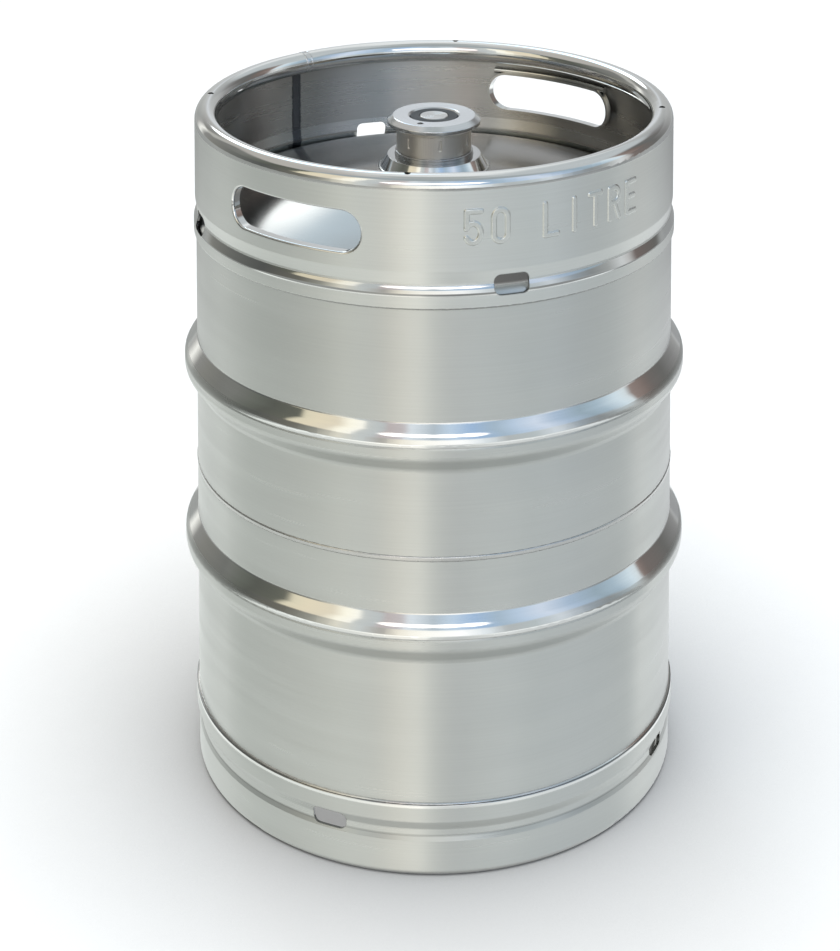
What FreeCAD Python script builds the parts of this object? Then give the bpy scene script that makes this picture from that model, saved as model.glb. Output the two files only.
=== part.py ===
"""A 50 litre stainless steel beer keg with rolling hoops, welded chimes and a flat-top extractor valve.

The origin is the centre of the foot ring on the floor, +Z is up and -Y is the front. Lengths are in
millimetres. An angle round the keg is counted from the front towards +X. Every round piece is an outline
in the XZ plane, radius by height, turned about the vertical axis.
"""
import FreeCAD, Part
import math
import os

import Sketcher
from FreeCAD import Rotation, Vector

SIZES = {
    # the pressure vessel: two drawn half shells that meet at the girth
    "shell_radius": 194.0,
    "shell_sheet": 1.5,
    "girth_height": 244.0,
    "top_flat_height": 478.0,
    "top_flat_radius": 46.0,
    "top_crown_radius": 550.0,
    "bottom_crown_radius": 700.0,
    "bottom_dome_height": 18.0,
    "bottom_flat_radius": 30.0,
    "knuckle_radius": 9.0,
    # the two rolling hoops pressed out of the half shells
    "upper_hoop_height": 327.0,
    "lower_hoop_height": 182.0,
    "hoop_radius": 204.0,
    "hoop_upper_reach": 20.0,
    "hoop_crest_above": 6.0,
    "hoop_crest_below": 4.0,
    "hoop_lower_reach": 15.5,
    "hoop_crest_round": 7.0,
    "hoop_upper_root_round": 2.0,
    "hoop_lower_root_round": 6.0,
    # the chimes: rings of sheet that carry the handles and the foot
    "chime_sheet": 2.0,
    "keg_height": 532.0,
    "skirt_radius": 195.0,
    "bead_roll": 9.3,
    "bead_roll_end": 310.0,
    "skirt_bend_height": 461.0,
    "waist_radius": 193.5,
    "waist_height": 451.0,
    "sleeve_top_height": 443.0,
    "sleeve_bottom_height": 433.5,
    "sleeve_bend_round": 3.0,
    "waist_bend_round": 4.0,
    "sleeve_edge_round": 0.8,
    "foot_sleeve_top_height": 56.3,
    "foot_sleeve_bottom_height": 43.0,
    "foot_groove_radius": 192.9,
    "foot_groove_top_height": 36.0,
    "foot_groove_bottom_height": 31.0,
    "foot_skirt_radius": 193.9,
    "foot_skirt_top_height": 27.0,
    "foot_bend_round": 2.0,
    "foot_roll": 5.0,
    "foot_roll_end": -300.0,
    "foot_flat_depth": 0.1,
    "foot_trim_depth": 1.0,
    # openings of the chimes
    "handle_angle": -34.2,
    "handle_width": 120.0,
    "handle_tall": 31.5,
    "handle_height": 487.25,
    "handle_corner": 15.2,
    "handle_lip_sheet": 2.0,
    "handle_lip_depth": 6.0,
    "handle_edge_round": 1.6,
    "curl_radius": 2.6,
    "curl_span": 34.8,
    "curl_height": 505.8,
    "curl_sink": 0.4,
    "trim_radius": 234.0,
    "trim_margin": 3.0,
    "drain_angle": 17.2,
    "drain_width": 27.0,
    "drain_tall": 15.0,
    "drain_height": 449.5,
    "drain_corner": 5.0,
    "foot_drain_angle": -24.0,
    "foot_drain_tall": 13.3,
    "foot_drain_height": 35.3,
    "vent_angle": -6.0,
    "vent_diameter": 5.0,
    # welds
    "girth_weld_width": 4.0,
    "girth_weld_rise": 0.5,
    "sleeve_weld_leg": 1.2,
    "neck_weld_leg": 2.0,
    "seam_angle": -140.5,
    "seam_span": 1.9,
    "seam_rise": 0.5,
    "seam_outer_rise": 0.25,
    "seam_bottom_height": 463.0,
    "seam_top_height": 512.0,
    "foot_seam_bottom_height": 8.0,
    # the neck welded into the top dome
    "neck_top_height": 488.0,
    "neck_top_radius": 38.2,
    "neck_cone_radius": 43.8,
    "neck_cone_bottom_height": 478.6,
    "neck_pilot_radius": 34.0,
    "neck_bottom_height": 464.0,
    "neck_bore_radius": 29.6,
    "ring_seat_radius": 32.1,
    "ring_seat_height": 487.0,
    # the locking ring and the O-ring of the extractor
    "lock_ring_radius": 32.0,
    "lock_ring_top_height": 491.8,
    "lock_ring_open": 14.0,
    "lock_ring_play": 0.1,
    "lock_ring_round": 0.8,
    "seal_section": 1.4,
    "seal_height": 475.0,
    "seal_groove_tall": 3.2,
    # the extractor's housing
    "flange_height": 520.0,
    "flange_flat_radius": 33.7,
    "flange_radius": 38.3,
    "flange_bevel_height": 516.5,
    "flange_under_height": 514.0,
    "housing_neck_radius": 30.7,
    "housing_neck_top_height": 509.7,
    "housing_neck_bottom_height": 492.8,
    "barrel_radius": 29.5,
    "barrel_bottom_height": 460.0,
    "barrel_bore_radius": 24.5,
    "mouth_bevel_radius": 21.2,
    "mouth_radius": 19.45,
    "mouth_bevel_height": 518.3,
    "seat_height": 513.0,
    "retainer_ledge_radius": 23.3,
    "retainer_ledge_height": 462.0,
    "notch_width": 2.0,
    "notch_tall": 8.5,
    "notch_corner": 0.6,
    "notch_height": 502.75,
    "notch_floor_radius": 29.7,
    "notch_cut_depth": 3.0,
    "notch_count": 7,
    "notch_angle": 9.5,
    "plug_radius": 2.5,
    "plug_place_radius": 27.0,
    "plug_angle": -24.0,
    "plug_depth": 1.6,
    # the gas valve: rubber, its steel insert, the head of the down tube and the tube
    "valve_top_height": 519.3,
    "rubber_radius": 19.35,
    "rubber_bore_radius": 12.0,
    "rubber_flange_radius": 22.8,
    "rubber_flange_height": 512.95,
    "rubber_cone_top_height": 514.5,
    "rubber_cone_bottom_height": 511.5,
    "rubber_bottom_height": 508.5,
    "insert_bottom_height": 506.5,
    "insert_radius": 22.5,
    "head_flange_height": 503.5,
    "head_bore_radius": 15.0,
    "head_radius": 17.0,
    "head_cone_top_height": 482.0,
    "head_cone_bottom_height": 474.0,
    "head_socket_height": 471.0,
    "head_socket_radius": 10.4,
    "tube_radius": 8.75,
    "tube_wall": 0.8,
    "tube_bottom_height": 29.0,
    "tube_top_height": 478.0,
    # the springs and what they push against
    "retainer_thick": 2.0,
    "retainer_bore_radius": 8.82,
    "retainer_port_radius": 3.0,
    "retainer_port_place_radius": 17.0,
    "retainer_ports": 6,
    "main_wire_radius": 1.3,
    "main_coil_radius": 19.8,
    "main_turns": 5.0,
    "beer_seat_top_height": 492.0,
    "beer_seat_thick": 2.0,
    "beer_seat_port_radius": 2.2,
    "beer_seat_port_place_radius": 11.0,
    "beer_seat_ports": 6,
    "stem_radius": 3.0,
    "stem_clearance": 0.06,
    "stem_bottom_height": 486.0,
    "beer_wire_radius": 0.6,
    "beer_coil_radius": 6.4,
    "beer_turns": 5.0,
    # the beer valve in the middle of the gas valve
    "piston_radius": 11.94,
    "piston_top_height": 519.5,
    "piston_bevel": 0.9,
    "piston_cone_radius": 14.2,
    "piston_cone_gap": 0.1,
    "piston_bottom_height": 509.0,
}

# how near, in millimetres, an edge or a face has to be to the place it is looked up by
NEAR = 0.02
EDGE_MARGIN = 0.1
# the least volume, in cubic millimetres, that a cut has to remove
LEAST_CUT = 0.5

doc = FreeCAD.newDocument("beer_keg")
sheet = doc.addObject("Spreadsheet::Sheet", "Sizes")


class Size:
    """A number with the expression that gives it from the sheet's cells."""

    def __init__(self, text, value):
        self.text = text
        self.value = value

    @staticmethod
    def of(number):
        if isinstance(number, Size):
            return number
        return Size(repr(float(number)), float(number))

    def combined(self, sign, other, value):
        return Size("(%s %s %s)" % (self.text, sign, Size.of(other).text), value)

    def __add__(self, other):
        return self.combined("+", other, self.value + Size.of(other).value)

    def __sub__(self, other):
        return self.combined("-", other, self.value - Size.of(other).value)

    def __mul__(self, other):
        return self.combined("*", other, self.value * Size.of(other).value)

    def __truediv__(self, other):
        return self.combined("/", other, self.value / Size.of(other).value)

    def root(self):
        return Size("sqrt(%s)" % self.text, math.sqrt(self.value))

    def cos(self):
        return Size("cos(%s)" % self.text, math.cos(math.radians(self.value)))

    def sin(self):
        return Size("sin(%s)" % self.text, math.sin(math.radians(self.value)))


def fill_sheet():
    """Writes each size into a cell of its own and returns the sizes by alias."""
    found = {}
    for row, (alias, number) in enumerate(SIZES.items(), start=1):
        sheet.set("A%d" % row, alias.replace("_", " "))
        sheet.set("B%d" % row, str(number))
        sheet.setAlias("B%d" % row, alias)
        found[alias] = Size("Sizes.%s" % alias, float(number))
    doc.recompute()
    return found


size = fill_sheet()
ZERO = Size("0", 0.0)


def new_body(label):
    body = doc.addObject("PartDesign::Body", label)
    body.Label = label
    return body


def origin_feature(body, role):
    for feature in body.Origin.OriginFeatures:
        if feature.Role == role:
            return feature
    raise ValueError(role)


def new_sketch(body, name, plane="XZ_Plane"):
    sketch = body.newObject("Sketcher::SketchObject", name)
    sketch.AttachmentSupport = [(origin_feature(body, plane), "")]
    sketch.MapMode = "FlatFace"
    return sketch


def bind_last(sketch, dimension):
    """Binds the constraint that was added last to a size."""
    if dimension.text.startswith(("Sizes", "(", "sqrt")):
        sketch.setExpression("Constraints[%d]" % (sketch.ConstraintCount - 1), dimension.text)


def place_point(sketch, geometry, position, across, up):
    """Gives a point of a sketch its two coordinates."""
    if across is ZERO:
        sketch.addConstraint(Sketcher.Constraint("PointOnObject", geometry, position, -2))
    else:
        sketch.addConstraint(Sketcher.Constraint("DistanceX", geometry, position, across.value))
        bind_last(sketch, across)
    if up is ZERO:
        sketch.addConstraint(Sketcher.Constraint("PointOnObject", geometry, position, -1))
    else:
        sketch.addConstraint(Sketcher.Constraint("DistanceY", geometry, position, up.value))
        bind_last(sketch, up)


def arc_between(start, end, radius, turn, long_way):
    """An arc from start to end. turn is 1 for counterclockwise and -1 for clockwise."""
    chord = end - start
    middle = (start + end) * 0.5
    rise = math.sqrt(max(radius * radius - chord.Length * chord.Length / 4, 0.0))
    left = Vector(-chord.y, chord.x, 0).normalize()
    side = turn * (-1 if long_way else 1)
    centre = middle + left * rise * side
    first, last = (start, end) if turn > 0 else (end, start)
    angles = [math.atan2(point.y - centre.y, point.x - centre.x) for point in (first, last)]
    if angles[1] <= angles[0]:
        angles[1] += 2 * math.pi
    return Part.ArcOfCircle(Part.Circle(centre, Vector(0, 0, 1), radius), angles[0], angles[1])


def outline(sketch, corners):
    """Draws a closed outline. A corner is (across, up), and (across, up, radius, turn, long_way) where
    an arc leaves it instead of a straight edge."""
    points = [Vector(corner[0].value, corner[1].value, 0) for corner in corners]
    ends = []
    for index, corner in enumerate(corners):
        start = points[index]
        end = points[(index + 1) % len(points)]
        if len(corner) == 2:
            edge = sketch.addGeometry(Part.LineSegment(start, end))
            ends.append((edge, 1, 2))
            continue
        radius, turn, long_way = corner[2:]
        edge = sketch.addGeometry(arc_between(start, end, radius.value, turn, long_way))
        sketch.addConstraint(Sketcher.Constraint("Radius", edge, radius.value))
        bind_last(sketch, radius)
        ends.append((edge, 1, 2) if turn > 0 else (edge, 2, 1))
    for index, corner in enumerate(corners):
        edge, first, _ = ends[index]
        before, _, last = ends[index - 1]
        sketch.addConstraint(Sketcher.Constraint("Coincident", before, last, edge, first))
        place_point(sketch, edge, first, corner[0], corner[1])
    return sketch


def rounded_box(sketch, up, wide, tall, corner):
    """Draws an upright rectangle with round corners, centred across the axis."""
    reach = [(wide / 2 - corner) * side for side in (-1, 1)]
    rise = [up - tall / 2 + corner, up + tall / 2 - corner]
    centres = [(reach[0], rise[0]), (reach[1], rise[0]), (reach[1], rise[1]), (reach[0], rise[1])]
    arcs = []
    for index, (across, height) in enumerate(centres):
        middle = Part.Circle(Vector(across.value, height.value, 0), Vector(0, 0, 1), corner.value)
        start = math.pi * (1 + index / 2)
        arcs.append(sketch.addGeometry(Part.ArcOfCircle(middle, start, start + math.pi / 2)))
    lines = []
    for index, arc in enumerate(arcs):
        start = sketch.getPoint(arc, 2)
        end = sketch.getPoint(arcs[(index + 1) % 4], 1)
        lines.append(sketch.addGeometry(Part.LineSegment(start, end)))
    for index in range(4):
        following = arcs[(index + 1) % 4]
        sketch.addConstraint(Sketcher.Constraint("Tangent", arcs[index], 2, lines[index], 1))
        sketch.addConstraint(Sketcher.Constraint("Tangent", lines[index], 2, following, 1))
        level = "Horizontal" if index % 2 == 0 else "Vertical"
        sketch.addConstraint(Sketcher.Constraint(level, lines[index]))
    for arc in arcs[1:]:
        sketch.addConstraint(Sketcher.Constraint("Equal", arcs[0], arc))
    sketch.addConstraint(Sketcher.Constraint("Radius", arcs[0], corner.value))
    bind_last(sketch, corner)
    place_point(sketch, arcs[0], 3, *centres[0])
    place_point(sketch, arcs[2], 3, *centres[2])
    return sketch


def circle(sketch, across, up, radius):
    """Draws a circle."""
    ring = sketch.addGeometry(Part.Circle(Vector(across.value, up.value, 0), Vector(0, 0, 1), radius.value))
    sketch.addConstraint(Sketcher.Constraint("Radius", ring, radius.value))
    bind_last(sketch, radius)
    place_point(sketch, ring, 3, across, up)
    return sketch


def turned(body, name, corners, kind="Revolution", span=None):
    """Turns an outline about the vertical axis, all the way round or through a span of degrees."""
    sketch = outline(new_sketch(body, name + "_outline"), corners)
    feature = body.newObject("PartDesign::" + kind, name)
    feature.Profile = sketch
    feature.ReferenceAxis = (sketch, ["V_Axis"])
    feature.Angle = 360
    if span is not None:
        feature.Midplane = True
        feature.setExpression("Angle", span.text)
    doc.recompute()
    return feature


def edges_at(feature, radius, height):
    """The names of the round edges of a feature at a radius and a height."""
    names = []
    for index, edge in enumerate(feature.Shape.Edges, start=1):
        if edge.Degenerated or not isinstance(edge.Curve, Part.Circle):
            continue
        centre = edge.Curve.Center
        if (abs(edge.Curve.Radius - radius.value) < NEAR and abs(centre.z - height.value) < NEAR
                and math.hypot(centre.x, centre.y) < NEAR):
            names.append("Edge%d" % index)
    return names


def rounded(body, name, feature, places, radius):
    """Rounds the round edges at the given (radius, height) places."""
    names = []
    for place in places:
        names += edges_at(feature, *place)
    fillet = body.newObject("PartDesign::Fillet", name)
    fillet.Base = (feature, names)
    fillet.Radius = radius.value
    fillet.setExpression("Radius", radius.text)
    doc.recompute()
    return fillet


def hollowed(body, name, feature, open_faces, wall):
    """Leaves a wall of even thickness inside the outer skin, open at the given faces."""
    shell = body.newObject("PartDesign::Thickness", name)
    shell.Base = (feature, open_faces)
    shell.Value = wall.value
    shell.Reversed = True
    shell.setExpression("Value", wall.text)
    doc.recompute()
    return shell


def flat_face_at(feature, height):
    """The name of the level face of a feature at a height."""
    for index, face in enumerate(feature.Shape.Faces, start=1):
        if isinstance(face.Surface, Part.Plane) and abs(face.CenterOfMass.z - height.value) < NEAR:
            return "Face%d" % index
    raise ValueError("no level face")


def turn_sketch(sketch, angle, forward=None):
    """Turns an upright sketch about the vertical axis, and moves it out from the axis."""
    distance = forward.value if forward is not None else 0.0
    turn = Rotation(Vector(0, 1, 0), angle.value)
    sketch.AttachmentOffset = FreeCAD.Placement(turn.multVec(Vector(0, 0, distance)), turn)
    sketch.setExpression(".AttachmentOffset.Rotation.Angle", angle.text)
    if forward is not None:
        sketch.setExpression(".AttachmentOffset.Base.x", (forward * angle.sin()).text)
        sketch.setExpression(".AttachmentOffset.Base.z", (forward * angle.cos()).text)


def lift_sketch(sketch, height):
    """Lifts a level sketch to a height."""
    sketch.AttachmentOffset = FreeCAD.Placement(Vector(0, 0, height.value), Rotation())
    sketch.setExpression(".AttachmentOffset.Base.z", height.text)


def polar(radius, angle):
    """The X and Y of a place given by its radius and its angle from the front."""
    return radius * angle.sin(), radius * angle.cos() * -1


def cut_through(body, name, sketch, both_ways=False, reversed_way=False, depth=None):
    """Pockets a sketch through everything in front of it, or through both sides, or to a depth."""
    before = body.Shape.Volume
    pocket = body.newObject("PartDesign::Pocket", name)
    pocket.Profile = sketch
    pocket.Type = "Length" if depth is not None else "ThroughAll"
    pocket.Midplane = both_ways
    pocket.Reversed = reversed_way
    if depth is not None:
        pocket.setExpression("Length", depth.text)
    doc.recompute()
    if pocket.Shape.Volume > before - LEAST_CUT:
        raise ValueError(name + " cuts nothing")
    return pocket


def repeated(body, name, feature, count):
    """Repeats a feature evenly round the vertical axis."""
    pattern = body.newObject("PartDesign::PolarPattern", name)
    pattern.Originals = [feature]
    pattern.Axis = (origin_feature(body, "Z_Axis"), [""])
    pattern.Angle = 360
    if isinstance(count, Size):
        pattern.Occurrences = int(count.value)
        pattern.setExpression("Occurrences", count.text)
    else:
        pattern.Occurrences = count
    body.Tip = pattern
    doc.recompute()
    return pattern


def crown_drop(crown_radius, radius):
    """How far a crown falls from its top to a radius."""
    return crown_radius - (crown_radius * crown_radius - radius * radius).root()


def hoop_corners(hoop_height, downwards):
    """The outline of a rolling hoop on the shell's wall, from above to below or the other way."""
    wall = size["shell_radius"]
    crest = size["hoop_radius"]
    corners = [
        (wall, hoop_height + size["hoop_upper_reach"]),
        (crest, hoop_height + size["hoop_crest_above"]),
        (crest, hoop_height - size["hoop_crest_below"]),
        (wall, hoop_height - size["hoop_lower_reach"]),
    ]
    return corners if downwards else corners[::-1]


def round_hoop(body, name, feature, hoop_height):
    """Rounds a rolling hoop's crest and the bends at its foot."""
    upper_root, crest_top, crest_bottom, lower_root = hoop_corners(hoop_height, True)
    crest = rounded(body, name + "_crest", feature, [crest_top, crest_bottom], size["hoop_crest_round"])
    root = rounded(body, name + "_upper_bend", crest, [upper_root], size["hoop_upper_root_round"])
    return rounded(body, name + "_lower_bend", root, [lower_root], size["hoop_lower_root_round"])


def upper_shell():
    """The upper half of the vessel: crown, knuckle, wall and upper hoop, with the hole for the neck."""
    body = new_body("upper_shell")
    flat = (size["top_flat_radius"], size["top_flat_height"])
    crown = size["top_crown_radius"]
    edge_height = (size["top_flat_height"] + crown_drop(crown, size["top_flat_radius"])
                   - crown_drop(crown, size["shell_radius"]))
    edge = (size["shell_radius"], edge_height)
    girth = size["girth_height"]
    corners = [(ZERO, girth), (ZERO, flat[1]), flat + (crown, -1, False), edge]
    corners += hoop_corners(size["upper_hoop_height"], True) + [(size["shell_radius"], girth)]
    solid = turned(body, "upper_form", corners)
    solid = rounded(body, "upper_knuckle", solid, [edge], size["knuckle_radius"])
    solid = round_hoop(body, "upper_hoop", solid, size["upper_hoop_height"])
    hollowed(body, "upper_wall", solid, [flat_face_at(solid, girth)], size["shell_sheet"])
    hole = circle(new_sketch(body, "neck_hole_outline", "XY_Plane"), ZERO, ZERO, size["neck_pilot_radius"])
    cut_through(body, "neck_hole", hole, both_ways=True)
    return body


def lower_shell():
    """The lower half of the vessel: wall, lower hoop, knuckle and closed bottom crown."""
    body = new_body("lower_shell")
    crown = size["bottom_crown_radius"]
    flat = (size["bottom_flat_radius"], size["bottom_dome_height"])
    edge_height = flat[1] - crown_drop(crown, flat[0]) + crown_drop(crown, size["shell_radius"])
    edge = (size["shell_radius"], edge_height)
    girth = size["girth_height"]
    corners = [(ZERO, girth), (size["shell_radius"], girth)]
    corners += hoop_corners(size["lower_hoop_height"], True)
    corners += [edge + (crown, -1, False), flat, (ZERO, flat[1])]
    solid = turned(body, "lower_form", corners)
    solid = rounded(body, "lower_knuckle", solid, [edge], size["knuckle_radius"])
    solid = round_hoop(body, "lower_hoop", solid, size["lower_hoop_height"])
    hollowed(body, "lower_wall", solid, [flat_face_at(solid, girth)], size["shell_sheet"])
    return body


def girth_weld():
    """The weld bead that joins the two half shells, standing proud of the wall."""
    body = new_body("girth_weld")
    wall = size["shell_radius"]
    half = size["girth_weld_width"] / 2
    turned(body, "girth_bead", [
        (wall, size["girth_height"] - half),
        (wall + size["girth_weld_rise"], size["girth_height"] - half / 2),
        (wall + size["girth_weld_rise"], size["girth_height"] + half / 2),
        (wall, size["girth_height"] + half),
    ])
    return body


def sleeve_weld(label, height, upwards):
    """A small fillet weld along the edge of a chime's sleeve."""
    body = new_body(label)
    wall = size["shell_radius"]
    leg = size["sleeve_weld_leg"]
    tip = height + leg if upwards else height - leg
    turned(body, label + "_bead", [(wall, height), (wall + leg, height), (wall, tip)])
    return body


def free_edges_at(feature, radius, low, high):
    """The names of the edges that run over a cylinder about the axis between two heights."""
    names = []
    for index, edge in enumerate(feature.Shape.Edges, start=1):
        box = edge.BoundBox
        if edge.Degenerated or box.ZMin < low.value - EDGE_MARGIN or box.ZMax > high.value + EDGE_MARGIN:
            continue
        points = edge.discretize(5)
        if all(abs(math.hypot(point.x, point.y) - radius.value) < NEAR for point in points):
            names.append("Edge%d" % index)
    return names


def rounded_opening(body, name, feature, radius, height, tall, amount):
    """Rounds the rim of an opening where it meets a cylinder about the axis."""
    fillet = body.newObject("PartDesign::Fillet", name)
    fillet.Base = (feature, free_edges_at(feature, radius, height - tall / 2, height + tall / 2))
    fillet.Radius = amount.value
    fillet.setExpression("Radius", amount.text)
    doc.recompute()
    return fillet


def turned_box(body, name, inner, outer, low, high, kind="Groove"):
    """A ring with a rectangular section."""
    return turned(body, name, [(inner, low), (outer, low), (outer, high), (inner, high)], kind)


def rolled_rim(centre, roll, sheet_thick, end_angle):
    """The corners of a rolled edge, from the outer face of the sheet round to its inner face."""
    inner = roll - sheet_thick
    turn = 1 if end_angle.value > 0 else -1
    outer_end = (centre[0] + roll * end_angle.cos(), centre[1] + roll * end_angle.sin())
    inner_end = (centre[0] + inner * end_angle.cos(), centre[1] + inner * end_angle.sin())
    return [
        (centre[0] + roll, centre[1], roll, turn, True),
        outer_end,
        inner_end + (inner, -turn, True),
        (centre[0] + inner, centre[1]),
    ]


def cut_drains(body, name, angle, height, tall):
    """Cuts four drain slots round a chime."""
    for number, turn in enumerate((0, 90), start=1):
        sketch = new_sketch(body, "%s_outline_%d" % (name, number))
        turn_sketch(sketch, angle + turn)
        rounded_box(sketch, height, size["drain_width"], tall, size["drain_corner"])
        cut_through(body, "%s_%d" % (name, number), sketch, both_ways=True)


def top_chime():
    """The top ring: sleeve, waist, skirt and rolled rim, with two handles, four drains and four vents."""
    body = new_body("top_chime")
    thick = size["chime_sheet"]
    skirt = size["skirt_radius"]
    sleeve = size["shell_radius"] + thick
    bead = (skirt - size["bead_roll"], size["keg_height"] - size["bead_roll"])
    waist = (size["waist_radius"], size["waist_height"])
    corners = rolled_rim(bead, size["bead_roll"], thick, size["bead_roll_end"])
    inner_side = [
        (skirt - thick, size["skirt_bend_height"]),
        (waist[0] - thick, waist[1]),
        (sleeve - thick, size["sleeve_top_height"]),
        (sleeve - thick, size["sleeve_bottom_height"]),
    ]
    outer_side = [(radius + thick, height) for radius, height in inner_side]
    ring = turned(body, "chime_ring", corners + inner_side + outer_side[::-1])
    ring = rounded(body, "waist_bends", ring, [outer_side[1], inner_side[1]], size["waist_bend_round"])
    ring = rounded(body, "sleeve_bends", ring, [outer_side[2]], size["sleeve_bend_round"])
    rounded(body, "sleeve_edge", ring, [outer_side[3]], size["sleeve_edge_round"])

    lip = size["handle_lip_sheet"]
    height = size["handle_height"]
    blank_sketch = new_sketch(body, "handle_lip_outline")
    turn_sketch(blank_sketch, size["handle_angle"])
    rounded_box(blank_sketch, height, size["handle_width"] + lip * 2, size["handle_tall"] + lip * 2,
                size["handle_corner"] + lip)
    blank = body.newObject("PartDesign::Pad", "handle_lips")
    blank.Profile = blank_sketch
    blank.Midplane = True
    blank.setExpression("Length", (skirt * 2).text)
    doc.recompute()
    low = height - size["handle_tall"] / 2 - size["trim_margin"]
    high = height + size["handle_tall"] / 2 + size["trim_margin"]
    turned_box(body, "trim_outside", skirt, size["trim_radius"], low, high)
    turned_box(body, "trim_inside", ZERO, skirt - thick - size["handle_lip_depth"], low, high)

    curl_sketch = new_sketch(body, "handle_curl_outline")
    turn_sketch(curl_sketch, size["handle_angle"] - 90)
    curl_place = skirt - thick - size["curl_radius"] + size["curl_sink"]
    circle(curl_sketch, curl_place, size["curl_height"], size["curl_radius"])
    curl = body.newObject("PartDesign::Revolution", "handle_curl")
    curl.Profile = curl_sketch
    curl.ReferenceAxis = (curl_sketch, ["V_Axis"])
    curl.Midplane = True
    curl.setExpression("Angle", size["curl_span"].text)
    doc.recompute()
    repeated(body, "handle_curls", curl, 2)

    slot_sketch = new_sketch(body, "handle_outline")
    turn_sketch(slot_sketch, size["handle_angle"])
    rounded_box(slot_sketch, height, size["handle_width"], size["handle_tall"], size["handle_corner"])
    slots = cut_through(body, "handles", slot_sketch, both_ways=True)
    slots = rounded_opening(body, "handle_edges", slots, skirt, height, size["handle_tall"],
                            size["handle_edge_round"])
    cut_drains(body, "drains", size["drain_angle"], size["drain_height"], size["drain_tall"])

    vent_sketch = new_sketch(body, "vent_outline", "XY_Plane")
    lift_sketch(vent_sketch, size["keg_height"])
    for turn in range(0, 360, 90):
        angle = size["vent_angle"] + turn
        circle(vent_sketch, bead[0] * angle.sin(), bead[0] * angle.cos() * -1, size["vent_diameter"] / 2)
    cut_through(body, "vents", vent_sketch, depth=size["bead_roll"])
    return body


def bottom_chime():
    """The bottom ring: sleeve, groove, skirt and rolled foot, with four drains."""
    body = new_body("bottom_chime")
    thick = size["chime_sheet"]
    sleeve = size["shell_radius"] + thick
    foot = size["foot_skirt_radius"]
    centre = (foot - size["foot_roll"], size["foot_roll"] - size["foot_flat_depth"])
    corners = rolled_rim(centre, size["foot_roll"], thick, size["foot_roll_end"])
    inner_side = [
        (foot - thick, size["foot_skirt_top_height"]),
        (size["foot_groove_radius"] - thick, size["foot_groove_bottom_height"]),
        (size["foot_groove_radius"] - thick, size["foot_groove_top_height"]),
        (sleeve - thick, size["foot_sleeve_bottom_height"]),
        (sleeve - thick, size["foot_sleeve_top_height"]),
    ]
    outer_side = [(radius + thick, height) for radius, height in inner_side]
    ring = turned(body, "chime_ring", corners + inner_side + outer_side[::-1])
    ring = rounded(body, "sleeve_bends", ring, [outer_side[3], outer_side[2]], size["foot_bend_round"])
    rounded(body, "sleeve_edge", ring, [outer_side[4]], size["sleeve_edge_round"])
    turned_box(body, "foot_flat", foot - size["foot_roll"] * 2, foot,
               ZERO - size["foot_trim_depth"], ZERO)
    cut_drains(body, "foot_drains", size["foot_drain_angle"], size["foot_drain_height"],
               size["foot_drain_tall"])
    return body


def neck_fitting():
    """The neck: a turned ring on the crown with a seat for the locking ring and a plain bore."""
    body = new_body("neck_fitting")
    turned(body, "neck", [
        (size["neck_bore_radius"], size["neck_bottom_height"]),
        (size["neck_pilot_radius"], size["neck_bottom_height"]),
        (size["neck_pilot_radius"], size["top_flat_height"]),
        (size["neck_cone_radius"], size["top_flat_height"]),
        (size["neck_cone_radius"], size["neck_cone_bottom_height"]),
        (size["neck_top_radius"], size["neck_top_height"]),
        (size["ring_seat_radius"], size["neck_top_height"]),
        (size["ring_seat_radius"], size["ring_seat_height"]),
        (size["neck_bore_radius"], size["ring_seat_height"]),
    ])
    return body


def neck_weld():
    """The fillet weld round the neck's foot."""
    body = new_body("neck_weld")
    foot = size["neck_cone_radius"]
    low = size["top_flat_height"]
    turned(body, "neck_bead", [
        (foot, low),
        (foot + size["neck_weld_leg"], low),
        (foot, size["neck_cone_bottom_height"]),
    ])
    return body


def neck_seal():
    """The O-ring between the extractor's barrel and the neck's bore."""
    seal = doc.addObject("Part::Torus", "neck_seal")
    seal.Label = "neck_seal"
    seal.setExpression("Radius1", (size["neck_bore_radius"] - size["seal_section"]).text)
    seal.setExpression("Radius2", size["seal_section"].text)
    seal.setExpression(".Placement.Base.z", size["seal_height"].text)
    return seal


def locking_ring():
    """The open spring ring that keeps the extractor in the neck."""
    body = new_body("locking_ring")
    inner = size["barrel_radius"] + size["lock_ring_play"]
    ring = turned(body, "ring", [
        (inner, size["ring_seat_height"]),
        (size["lock_ring_radius"], size["ring_seat_height"]),
        (size["lock_ring_radius"], size["lock_ring_top_height"]),
        (inner, size["lock_ring_top_height"]),
    ], span=size["lock_ring_open"] * -1 + 360)
    rounded(body, "ring_edge", ring, [(size["lock_ring_radius"], size["lock_ring_top_height"])],
            size["lock_ring_round"])
    return body


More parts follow.
